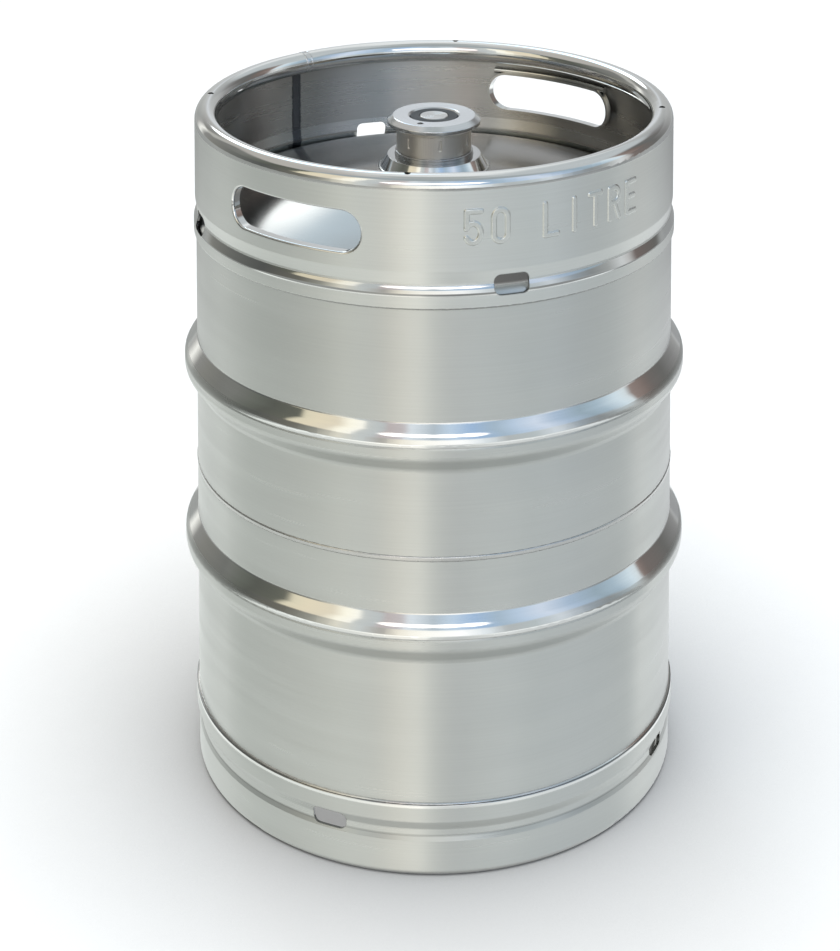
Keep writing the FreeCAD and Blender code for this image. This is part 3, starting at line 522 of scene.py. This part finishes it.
class Skin:
    """A mesh in the making."""

    def __init__(self):
        self.places = []
        self.normals = []
        self.faces = []

    def point(self, place, normal=Vector((0, 0, 0))):
        self.places.append(place)
        self.normals.append(normal)
        return len(self.places) - 1

    def strip(self, first, second):
        """Faces between two closed rows of the same length."""
        for index in range(len(first)):
            following = (index + 1) % len(first)
            self.faces.append((first[index], first[following], second[following], second[index]))

    def build(self, name, material, body, replaced=None):
        """The finished piece. It rides on a body and may stand for a CAD node."""
        mesh = bpy.data.meshes.new(name)
        mesh.from_pydata(self.places, [], self.faces)
        mesh.materials.append(material)
        mesh.shade_smooth()
        mesh.normals_split_custom_set_from_vertices(self.normals)
        piece = bpy.data.objects.new(name, mesh)
        bpy.context.scene.collection.objects.link(piece)
        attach(piece, body)
        if replaced:
            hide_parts(replaced)
        return piece


def lathe(name, section, material, body, replaced):
    """A ring: a closed section turned about the keg's axis."""
    skin = Skin()
    rows = []
    angles = [TURN * column / COLUMNS for column in range(COLUMNS)]
    for radius, height, across, up in section:
        rows.append([skin.point(on_keg(radius, angle, height), faced(angle, across, up)) for angle in angles])
    for one, two in zip(rows, rows[1:] + rows[:1]):
        skin.strip(one, two)
    skin.build(name, material, body, replaced)


def sweep(skin, path, radius, sides=16, above=None, tall=1.0, low=None, high=None):
    """A round bar along a path of points in metres, closed at both ends. above gives the direction in which
    the bar is tall times as thick, and low and high grind it flat."""
    rings = []
    for index, place in enumerate(path):
        along = (path[min(index + 1, len(path) - 1)] - path[max(index - 1, 0)]).normalized()
        upright = above(place) if above else Vector((0, 0, 1))
        side = along.cross(upright).normalized()
        upright = side.cross(along)
        ring = []
        for part in range(sides):
            angle = TURN * part / sides
            spot = place + (side * math.cos(angle) + upright * (math.sin(angle) * tall)) * radius * MM
            if low is not None:
                spot.z = limited(spot.z, low * MM, high * MM)
            ring.append(skin.point(spot))
        rings.append(ring)
    for one, two in zip(rings, rings[1:]):
        skin.strip(two, one)
    for ring, end, inside in ((rings[0], path[0], path[1]), (rings[-1], path[-1], path[-2])):
        middle = skin.point(sum((skin.places[spot] for spot in ring), Vector()) / sides)
        for index in range(sides):
            following = (index + 1) % sides
            face = (ring[index], ring[following], middle)
            skin.faces.append(face if ring is rings[0] else face[::-1])


# ---------------------------------------------------------------- light of the surroundings
# Panels round the keg, as stops of (degrees from straight in front towards +X, colour).

# well above the horizon, seen in the flanks of the hoops. A ramp holds 32 stops, so the right has its own
RAISED = [
    (-180, (0.70, 0.73, 0.76)), (-172, (0.46, 0.46, 0.45)), (-158, (0.38, 0.38, 0.37)),
    (-146, (0.24, 0.24, 0.23)), (-139, (0.52, 0.52, 0.48)), (-133, (0.48, 0.48, 0.45)),
    (-128, (0.22, 0.22, 0.21)), (-105, (0.20, 0.205, 0.19)), (-92, (0.14, 0.15, 0.13)),
    (-84, (0.11, 0.115, 0.10)), (-70, (0.14, 0.145, 0.12)), (-67, (0.80, 0.74, 0.56)),
    (-60, (0.86, 0.77, 0.58)), (-50, (0.84, 0.76, 0.60)), (-44, (1.12, 1.08, 0.92)),
    (-38, (1.10, 1.08, 0.98)), (-35, (0.62, 0.65, 0.64)), (-27, (0.56, 0.60, 0.61)),
    (-24, (0.56, 0.50, 0.50)), (-16, (0.60, 0.56, 0.57)), (-12, (0.80, 0.87, 0.93)),
    (0, (0.50, 0.58, 0.65)), (9, (0.58, 0.72, 0.88)), (20, (0.38, 0.54, 0.78)),
    (32, (0.42, 0.54, 0.66)), (42, (0.54, 0.67, 0.84)), (53, (0.70, 0.79, 0.93)),
    (64, (0.44, 0.56, 0.72)), (76, (0.34, 0.44, 0.52)), (85, (0.42, 0.54, 0.64)),
    (96, (0.72, 0.84, 0.92)), (101, (0.74, 0.82, 0.86)),
]
RAISED_RIGHT = [
    (101, (0.74, 0.82, 0.86)), (104, (0.30, 0.24, 0.22)), (116, (0.20, 0.16, 0.145)),
    (126, (0.15, 0.155, 0.155)), (138, (0.17, 0.165, 0.16)), (149, (0.26, 0.26, 0.26)),
    (158, (0.38, 0.39, 0.395)), (172, (0.46, 0.475, 0.475)), (180, (0.70, 0.73, 0.76)),
]
# just above the horizon, seen in the roll under the skirt and along the edges of the hoops
LEVEL = [
    (-180, (0.70, 0.73, 0.76)), (-168, (0.51, 0.52, 0.51)), (-155, (0.37, 0.38, 0.37)),
    (-149, (0.42, 0.42, 0.41)), (-142, (1.00, 1.00, 0.95)), (-135, (0.28, 0.28, 0.27)),
    (-126, (0.24, 0.24, 0.22)),
    (-105, (0.16, 0.165, 0.155)), (-84, (0.10, 0.105, 0.10)), (-63, (0.17, 0.165, 0.14)),
    (-52, (0.33, 0.33, 0.29)), (-42, (0.80, 0.77, 0.66)), (-32, (0.62, 0.66, 0.66)),
    (-22, (0.46, 0.44, 0.41)), (-15, (0.95, 0.90, 0.78)), (-6, (1.12, 1.10, 1.02)),
    (12, (1.15, 1.16, 1.16)), (22, (0.84, 0.90, 0.94)), (32, (0.50, 0.53, 0.54)),
    (44, (0.52, 0.58, 0.60)), (54, (0.70, 0.76, 0.82)), (66, (0.34, 0.39, 0.44)),
    (76, (0.28, 0.30, 0.31)), (86, (0.40, 0.42, 0.42)), (95, (0.72, 0.75, 0.76)),
    (100, (0.60, 0.60, 0.60)), (105, (0.20, 0.165, 0.155)), (126, (0.15, 0.15, 0.145)),
    (139, (0.25, 0.25, 0.25)), (157, (0.44, 0.45, 0.45)), (172, (0.52, 0.53, 0.53)),
    (180, (0.70, 0.73, 0.76)),
]
# below the horizon, seen in the satin walls
LOWERED = [
    (-180, (0.99, 1.02, 1.00)), (-154, (0.89, 0.92, 0.90)), (-136, (0.86, 0.89, 0.87)),
    (-122, (0.94, 0.97, 0.94)), (-110, (0.86, 0.89, 0.86)), (-93, (0.785, 0.82, 0.785)),
    (-74, (0.80, 0.83, 0.80)), (-48, (0.86, 0.885, 0.85)), (-30, (0.94, 0.95, 0.90)),
    (-18, (1.06, 1.04, 0.96)), (-7, (1.14, 1.13, 1.06)), (-1, (0.80, 0.82, 0.79)),
    (5, (0.68, 0.70, 0.69)), (12, (0.63, 0.655, 0.655)), (21, (0.725, 0.75, 0.735)),
    (35, (0.835, 0.865, 0.865)), (47, (0.755, 0.79, 0.79)), (59, (0.72, 0.755, 0.765)),
    (78, (0.74, 0.775, 0.79)), (98, (0.68, 0.715, 0.725)), (116, (0.97, 1.00, 1.00)),
    (128, (0.91, 0.95, 0.96)), (148, (0.85, 0.87, 0.89)), (165, (0.91, 0.945, 0.965)),
    (180, (0.99, 1.02, 1.02)),
]

# Lamps as (azimuth, elevation, degrees within which they are full, degrees beyond which they end, colour): a
# row in front, seen by the inner wall in the crown and under the flanks of the hoops, and a screen and a lamp
# behind on the left, seen in the crown through the near handle.
FRONT_LAMP = (2.4, 2.3, 2.2)
LAMPS = [
    (-18, 32, 3, 8, FRONT_LAMP), (-6, 32, 3, 8, FRONT_LAMP), (6, 32, 3, 8, FRONT_LAMP),
    (18, 32, 3, 8, FRONT_LAMP), (-165, 40, 5, 14, (1.45, 1.85, 2.15)), (-162, 30, 3, 8, (4.2, 4.5, 4.6)),
]
GROUND_LIGHT = (0.45, 0.46, 0.45)
SEEN_BACKDROP = (0.97, 0.97, 0.97)


def panel_light(n, around, z):
    """The panels at three heights, with a dark skirting in the lowest."""

    def panels(stops):
        return n.ramp(around, [(angle / 360 + 0.5, colour) for angle, colour in stops])

    raised = n.mix_colour(n.math("GREATER_THAN", around, RAISED_RIGHT[0][0] / 360 + 0.5),
                          panels(RAISED), panels(RAISED_RIGHT))
    skirting = n.times(n.map_range(n.math("ABSOLUTE", n.math("ADD", z, 0.22)), 0.08, 0.15, 0.40, 1.0),
                       n.map_range(z, -0.42, -0.35, 1.20, 1.0),
                       n.map_range(z, -0.60, -0.44, 0.76, 1.0))
    side = n.darken(panels(LOWERED), skirting)
    side = n.mix_colour(n.map_range(z, -0.14, -0.08), side, panels(LEVEL))
    side = n.mix_colour(n.map_range(z, 0.24, 0.32), side, raised)
    return n.mix_colour(n.map_range(z, -0.97, -0.75), GROUND_LIGHT, side)


def ceiling_light(n, x, y, z):
    """Softboxes above the sides and the back, a greyer ceiling in front and straight above."""
    softbox = n.mix_colour(n.map_range(x, -0.5, 0.1), (0.50, 0.48, 0.45), (0.84, 0.87, 0.88))
    softbox = n.mix_colour(n.map_range(x, 0.10, 0.30), softbox, (0.54, 0.58, 0.60))
    ceiling = n.mix_colour(n.map_range(y, -0.25, -0.05), (0.37, 0.41, 0.43), softbox)
    return n.mix_colour(n.map_range(z, 0.955, 0.99), ceiling, (0.42, 0.45, 0.45))


def toward(n, place, azimuth, elevation, full, none):
    """1 within `full` degrees of a direction and 0 beyond `none` degrees."""
    level_part = math.cos(math.radians(elevation))
    aim = (math.sin(math.radians(azimuth)) * level_part, -math.cos(math.radians(azimuth)) * level_part,
           math.sin(math.radians(elevation)))
    return n.map_range(n.dot(place, aim), math.cos(math.radians(none)), math.cos(math.radians(full)))


def world_light():
    """Soft studio surroundings, seen in the steel; the camera itself sees a plain pale backdrop."""
    world = bpy.data.worlds.new("studio")
    bpy.context.scene.world = world
    world.use_nodes = True
    n = Nodes(world.node_tree)
    place = n.add("ShaderNodeTexCoord").outputs["Generated"]
    x, y, z = n.xyz(place)
    around = n.math("ADD", n.math("DIVIDE", n.math("ARCTAN2", x, n.times(y, -1.0)), TURN), 0.5)
    lower_behind = n.math("ADD", n.map_range(y, -0.5, 0.0, 0.0, 0.25, smooth=False),
                          n.map_range(y, 0.45, 0.75, 0.0, 0.10))
    overhead = n.map_range(n.math("ADD", z, lower_behind), 0.78, 0.90)
    sky = n.mix_colour(overhead, panel_light(n, around, z), ceiling_light(n, x, y, z))
    for azimuth, elevation, full, none, colour in LAMPS:
        sky = n.mix_colour(toward(n, place, azimuth, elevation, full, none), sky, colour)
    seen = n.add("ShaderNodeLightPath").outputs["Is Camera Ray"]
    background = n.add("ShaderNodeBackground")
    n.feed(background.inputs["Color"], n.mix_colour(seen, sky, SEEN_BACKDROP))
    background.inputs["Strength"].default_value = 1.0
    n.feed(n.add("ShaderNodeOutputWorld").inputs["Surface"], background.outputs[0])


# ---------------------------------------------------------------- lamp, floor and camera

def top_panel():
    """A soft square lamp high above, left out of the reflections."""
    data = bpy.data.lights.new("top_panel", "AREA")
    data.shape = "RECTANGLE"
    data.size, data.size_y = 5.0, 5.0
    data.energy = 130
    lamp = bpy.data.objects.new("top_panel", data)
    lamp.location = (0.0, -0.3, 3.2)
    lamp.rotation_euler = (-Vector(lamp.location)).to_track_quat("-Z", "Y").to_euler()
    lamp.visible_glossy = False
    bpy.context.scene.collection.objects.link(lamp)


FLOOR_REACH = 12.0
FOOT_RADIUS = (0.176, 0.182)
FAR_OFF = (1.0, 4.5)


def floor():
    """A pale floor with a painted soft shadow round the keg, darker where other things are near. The closed
    foot would leave the floor under it black, though it reads pale through the drains, and far from the lamp
    the floor would turn grey, so it glows a little at both, as painted light."""
    s = Surface("pale_floor")
    n = s.n
    pale = n.mix_colour(n.noise(s.place, 40.0, 4.0, 0.6), (0.90, 0.90, 0.90), (0.92, 0.92, 0.92))
    # painted shadow: darker where the keg is near
    shade = n.map_range(n.openness(0.30, samples=8), 0.25, 1.0, 0.42, 1.0, smooth=False)
    glow = n.math("ADD", n.map_range(s.radius, *FOOT_RADIUS, 0.42, 0.0),
                  n.map_range(s.radius, *FAR_OFF, 0.0, 0.55))
    shader = n.add("ShaderNodeBsdfPrincipled")
    n.feed(shader.inputs["Base Color"], n.darken(pale, shade))
    shader.inputs["Roughness"].default_value = 0.9
    shader.inputs["Specular IOR Level"].default_value = 0.1
    shader.inputs["Emission Color"].default_value = (0.62, 0.62, 0.62, 1.0)
    n.feed(shader.inputs["Emission Strength"], glow)
    mesh = bpy.data.meshes.new("floor")
    corners = [(-1, -1), (1, -1), (1, 1), (-1, 1)]
    mesh.from_pydata([(x * FLOOR_REACH, y * FLOOR_REACH, 0) for x, y in corners], [], [(0, 1, 2, 3)])
    mesh.materials.append(s.finish(shader))
    ground = bpy.data.objects.new("floor", mesh)
    bpy.context.scene.collection.objects.link(ground)
    ground.visible_glossy = False


CAMERA_DISTANCE = 1.7517
CAMERA_HEIGHT = 1.0485
CAMERA_PITCH = 3.813
CAMERA_SHIFTS = (("shift_x", -0.0147), ("shift_y", -0.9076))


def camera():
    """A shift camera in front of the keg. The shift holds only at its own place, so that a view from
    another side is centred."""
    data = bpy.data.cameras.new("camera")
    data.sensor_width = 36.0
    data.lens = 82.46
    data.clip_start = 0.01
    data.clip_end = 100.0
    eye = bpy.data.objects.new("camera", data)
    eye.location = (0.0, -CAMERA_DISTANCE, CAMERA_HEIGHT)
    eye.rotation_euler = (math.radians(90 - CAMERA_PITCH), 0.0, 0.0)
    bpy.context.scene.collection.objects.link(eye)
    for name, shift in CAMERA_SHIFTS:
        driver = data.driver_add(name).driver
        driver.type = "SCRIPTED"
        for axis in "xyz":
            variable = driver.variables.new()
            variable.name = axis
            variable.type = "TRANSFORMS"
            variable.targets[0].id = eye
            variable.targets[0].transform_type = "LOC_" + axis.upper()
        driver.expression = "%f if abs(x) + abs(y + %f) + abs(z - %f) < 0.001 else 0.0" % (
            shift, CAMERA_DISTANCE, CAMERA_HEIGHT)
    bpy.context.scene.camera = eye


# ---------------------------------------------------------------- pieces

def coil_spring(node, material, body, coil, wire, low, high, turns):
    """A compression spring with closed, ground ends. coil is the radius of its centre line and wire half
    its thickness."""
    rest = high - low - 2 * wire
    closed = 2 * wire
    path = []
    steps = int(turns * 40)
    for step in range(steps + 1):
        done = turns * step / steps
        middle = (rest - 2 * closed) * limited((done - 1) / (turns - 2))
        rise = closed * min(done, 1) + middle + closed * max(done - (turns - 1), 0)
        path.append(on_keg(coil, TURN * done, low + wire + rise))
    skin = Skin()
    sweep(skin, path, wire, low=low, high=high)
    piece = skin.build(node + "_coil", material, body, node)
    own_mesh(piece)


def strokes_through(*spots):
    """Straight strokes from spot to spot."""
    return list(zip(spots, spots[1:]))


def bow(centre, radii, start, end, parts=14):
    """Short straight strokes along an arc of an ellipse, angles in degrees."""
    spots = []
    for part in range(parts + 1):
        angle = math.radians(start + (end - start) * part / parts)
        spots.append((centre[0] + radii[0] * math.cos(angle), centre[1] + radii[1] * math.sin(angle)))
    return strokes_through(*spots)


def letter_strokes(sign, wide, tall):
    """The centre lines of a plain block letter, from its lower left corner."""
    left, middle, right, half = 0.0, wide / 2, wide, (wide / 2, wide / 2)
    waist = tall * 0.52
    belly = tall * 0.31
    shapes = {
        "5": strokes_through((right, tall), (left, tall), (left, tall * 0.46))
             + bow((wide * 0.45, belly), (wide * 0.55, belly), 151, -150),
        "0": bow((middle, tall - middle), half, 180, 0) + bow((middle, middle), half, 0, -180)
             + strokes_through((left, middle), (left, tall - middle))
             + strokes_through((right, middle), (right, tall - middle)),
        "L": strokes_through((left, tall), (left, 0), (right, 0)),
        "I": strokes_through((middle, tall), (middle, 0)),
        "T": strokes_through((left, tall), (right, tall)) + strokes_through((middle, tall), (middle, 0)),
        "R": strokes_through((left, 0), (left, tall), (middle, tall))
             + bow((middle, (tall + waist) / 2), (middle, (tall - waist) / 2), 90, -90)
             + strokes_through((middle, waist), (left, waist)) + strokes_through((middle, waist), (right, 0)),
        "E": strokes_through((right, tall), (left, tall), (left, 0), (right, 0))
             + strokes_through((left, waist), (wide * 0.85, waist)),
    }
    return shapes[sign]


def distance_to(spot, strokes):
    least = math.inf
    for (ax, ay), (bx, by) in strokes:
        dx, dy = bx - ax, by - ay
        share = limited(((spot[0] - ax) * dx + (spot[1] - ay) * dy) / (dx * dx + dy * dy))
        least = min(least, math.hypot(spot[0] - ax - dx * share, spot[1] - ay - dy * share))
    return least


SKIRT_RADIUS = 195.0
MARK_FRONT = 194.93     # where the relief starts, just inside the skirt's steel
MARK_BACK = 194.5
MARK_RELIEF = 1.0
STROKE_TOP = 1.3        # half widths of a stroke, where it is flat and where it ends
STROKE_FOOT = 2.4
MARK_CELL = 0.33
LEAST_RISE = 0.004


def letter_relief(sign, middle_angle, low, wide, tall):
    """The height of one letter's relief over a grid, as (rise, angle, height) by row and column."""
    strokes = letter_strokes(sign, wide, tall)
    columns = math.ceil((wide + 2 * STROKE_FOOT) / MARK_CELL) + 1
    rows = math.ceil((tall + 2 * STROKE_FOOT) / MARK_CELL) + 1
    grid = {}
    for row in range(rows):
        for column in range(columns):
            spot = (column * MARK_CELL - STROKE_FOOT, row * MARK_CELL - STROKE_FOOT)
            share = limited((distance_to(spot, strokes) - STROKE_TOP) / (STROKE_FOOT - STROKE_TOP))
            rise = MARK_RELIEF * 0.5 * (1 + math.cos(math.pi * share))
            grid[row, column] = (rise, middle_angle + (spot[0] - wide / 2) / SKIRT_RADIUS, low + spot[1])
    return grid, rows, columns


def press_letter(skin, grid, rows, columns):
    """Closes the raised cells of a letter's grid into a body with a front, a back and edges."""
    raised = [(row, column) for row in range(rows - 1) for column in range(columns - 1)
              if max(grid[row + i, column + j][0] for i in (0, 1) for j in (0, 1)) > LEAST_RISE]
    front, rear = {}, {}

    def corner(key, table):
        if key not in table:
            rise, angle, height = grid[key]
            radius = MARK_FRONT + rise if table is front else MARK_BACK
            table[key] = skin.point(on_keg(radius, angle, height))
        return table[key]

    edges = {}
    for row, column in raised:
        keys = [(row, column), (row, column + 1), (row + 1, column + 1), (row + 1, column)]
        skin.faces.append(tuple(corner(key, front) for key in keys))
        skin.faces.append(tuple(corner(key, rear) for key in keys[::-1]))
        for one, two in zip(keys, keys[1:] + keys[:1]):
            if (two, one) in edges:
                del edges[two, one]
            else:
                edges[one, two] = True
    for one, two in edges:
        skin.faces.append((front[two], front[one], rear[one], rear[two]))


def capacity_mark(text, material, first_angle, pitch, low, wide, tall):
    """The keg's capacity pressed out of the skirt as a low relief of rounded strokes. Angles in degrees."""
    skin = Skin()
    for number, sign in enumerate(text):
        if sign != " ":
            angle = math.radians(first_angle + pitch * number)
            press_letter(skin, *letter_relief(sign, angle, low, wide, tall))
    skin.build("capacity_mark", material, "root")


ROLL_CENTRE = (185.7, 522.7)
ROLL_RADIUS = 9.3
WELD_HALF_WIDTH = 2.9


def rim_butt_weld(material, angle):
    """The dressed butt weld across the rolled rim: a low cap between two fine ridges."""
    skin = Skin()

    def across_roll(aside, depth):
        spots = []
        for part in range(41):
            lean = math.radians(-20 + 250 * part / 40)
            radius = ROLL_CENTRE[0] + (ROLL_RADIUS - depth) * math.cos(lean)
            height = ROLL_CENTRE[1] + (ROLL_RADIUS - depth) * math.sin(lean)
            spots.append(on_keg(radius, math.radians(angle) + aside / radius, height))
        return spots

    def away_from_roll(place):
        out = Vector((place.x, place.y, 0)).normalized() * ROLL_CENTRE[0] * MM
        return (place - Vector((out.x, out.y, ROLL_CENTRE[1] * MM))).normalized()

    sweep(skin, across_roll(0.0, 0.15), WELD_HALF_WIDTH, sides=20, above=away_from_roll, tall=0.12)
    for aside in (-WELD_HALF_WIDTH, WELD_HALF_WIDTH):
        sweep(skin, across_roll(aside, 0.25), 0.55, sides=10, above=away_from_roll)
    skin.build("rim_butt_weld", material, "root")


def valve_rubber(material):
    """The moulded rubber of the gas valve, with round edges."""
    corners = [(15.0, 508.5, 0.2), (22.8, 508.5, 0.5), (22.8, 512.95, 0.6), (19.35, 512.95, 0.15),
               (19.35, 519.3, 0.5), (12.0, 519.3, 0.5), (12.0, 514.5, 0.3), (15.0, 511.5, 0.3)]
    lathe("gas_valve_seal", rounded_section(corners), material, "gas_valve",
          "gas_valve_rubber")


def neck_o_ring(material):
    """The O-ring between the extractor and the neck."""
    low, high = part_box("neck_seal")
    half = (high.z - low.z) / 2 / MM
    outer = high.x / MM
    centre = (outer - half, (high.z + low.z) / 2 / MM)
    section = []
    for part in range(24):
        lean = TURN * part / 24
        across, up = math.cos(lean), math.sin(lean)
        section.append((centre[0] + across * half, centre[1] + up * half, across, up))
    lathe("neck_o_ring", section, material, "root", "neck_seal")


def dress(node, material):
    """Gives a carried-over CAD node its material."""
    slots = nodes[node].data.materials
    slots.clear()
    slots.append(material)


# ---------------------------------------------------------------- the keg

SEAM_ANGLE = -140.7
CHIME_TONE = 1.12

# Heights come first for the upper hoop and then for the lower one.
# The drawn head's satin is painted darker, with painted shade on its shoulder.
satin_shell = steel_material("satin_shell_steel", head_height=0.4365,
                             polished_bands=[(0.3324, 0.3476, 0.0003), (0.1874, 0.2026, 0.0003)],
                             satin_crests=[(0.3315, 0.3366), (0.1865, 0.1916)],
                             bends=[(0.3420, 0.3322, 0.0036), (0.1970, 0.1872, 0.0036)])
# Polished in the waist under the skirt and on the rolled rim, with painted dark outlines round the drains.
satin_chime = steel_material("satin_chime_steel", tone=CHIME_TONE,
                             polished_bands=[(0.4427, 0.4503, 0.0003), (0.5216, KEG_TOP + 0.01, 0.0004)],
                             bends=[(0.44685, 0.4426, 0.0008), (0.44685, 0.4504, 0.0005)],
                             rim_tilt=0.97, rolled_rim=0.512, rim_shade=0.465, outlined=(0.4405, 0.4585),
                             seam=(SEAM_ANGLE, 1.35, 0.440, 0.5125))
satin_mark = steel_material("satin_mark_steel", tone=CHIME_TONE, satin_roughness=0.24)
# Polished at the top of the sleeve, with a painted dark line in the groove's crease and painted dark outlines
# round the drains.
satin_foot = steel_material("satin_foot_steel", polished_bands=[(0.0538, 0.06, 0.0004)], rim_tilt=0.85,
                            rim_shade=0.1, crease=(0.0302, 0.0318, 0.0005), outlined=(0.027, 0.0435))
turned_steel = turned_material("turned_steel", spin=0.9)
housing_steel = turned_material("housing_steel", (0.86, 0.88, 0.90), 0.18, upright_below=0.514,
                                edge_round=1.2 * MM)
polished_steel = turned_material("polished_steel", (0.87, 0.87, 0.865), 0.07, 900.0, 0.06, spin=0.2,
                                 ledge_shade=0.70)
weld_steel = turned_material("weld_steel", (0.66, 0.66, 0.65), 0.26, 500.0, 0.6)
bead_steel = turned_material("bead_steel", (0.80, 0.79, 0.77), 0.12, 500.0, 0.05)
seam_steel = turned_material("seam_steel", (0.16, 0.165, 0.18), 0.32, 300.0, 0.5,
                             outer_colour=(0.60, 0.61, 0.60))
spring_steel = turned_material("spring_steel", (0.55, 0.56, 0.57), 0.25)
valve_rubber_black = soft_material("valve_rubber", (0.028, 0.032, 0.036), (0.045, 0.050, 0.055), 0.55)
seal_rubber = soft_material("seal_rubber", (0.008, 0.008, 0.008), (0.02, 0.02, 0.02), 0.5)

CARRIED = {
    satin_shell: ("upper_shell", "lower_shell"),
    satin_chime: ("top_chime",),
    satin_foot: ("bottom_chime",),
    weld_steel: ("girth_weld", "top_chime_weld", "neck_weld", "bottom_chime_seam"),
    bead_steel: ("bottom_chime_weld",),
    seam_steel: ("top_chime_seam",),
    polished_steel: ("neck_fitting",),
    housing_steel: ("valve_housing",),
    seal_rubber: ("marker_plug",),
    spring_steel: ("locking_ring",),
    turned_steel: ("spring_retainer", "gas_valve_insert", "down_tube_head", "down_tube", "beer_spring_seat",
                   "beer_valve_piston"),
}
for material, names in CARRIED.items():
    for node in names:
        dress(node, material)

valve_rubber(valve_rubber_black)
neck_o_ring(seal_rubber)
coil_spring("main_spring", spring_steel, "root", coil=19.8, wire=1.3, low=464.0, high=503.5, turns=5.0)
coil_spring("beer_valve_spring", spring_steel, "gas_valve", coil=6.4, wire=0.6, low=492.0, high=509.0,
            turns=5.0)
capacity_mark("50 LITRE", satin_mark, first_angle=8.6, pitch=5.95, low=482.5, wide=10.5, tall=23.4)
rim_butt_weld(polished_steel, SEAM_ANGLE - 1.2)

world_light()
top_panel()
floor()
camera()
bpy.context.scene.view_settings.view_transform = "Standard"
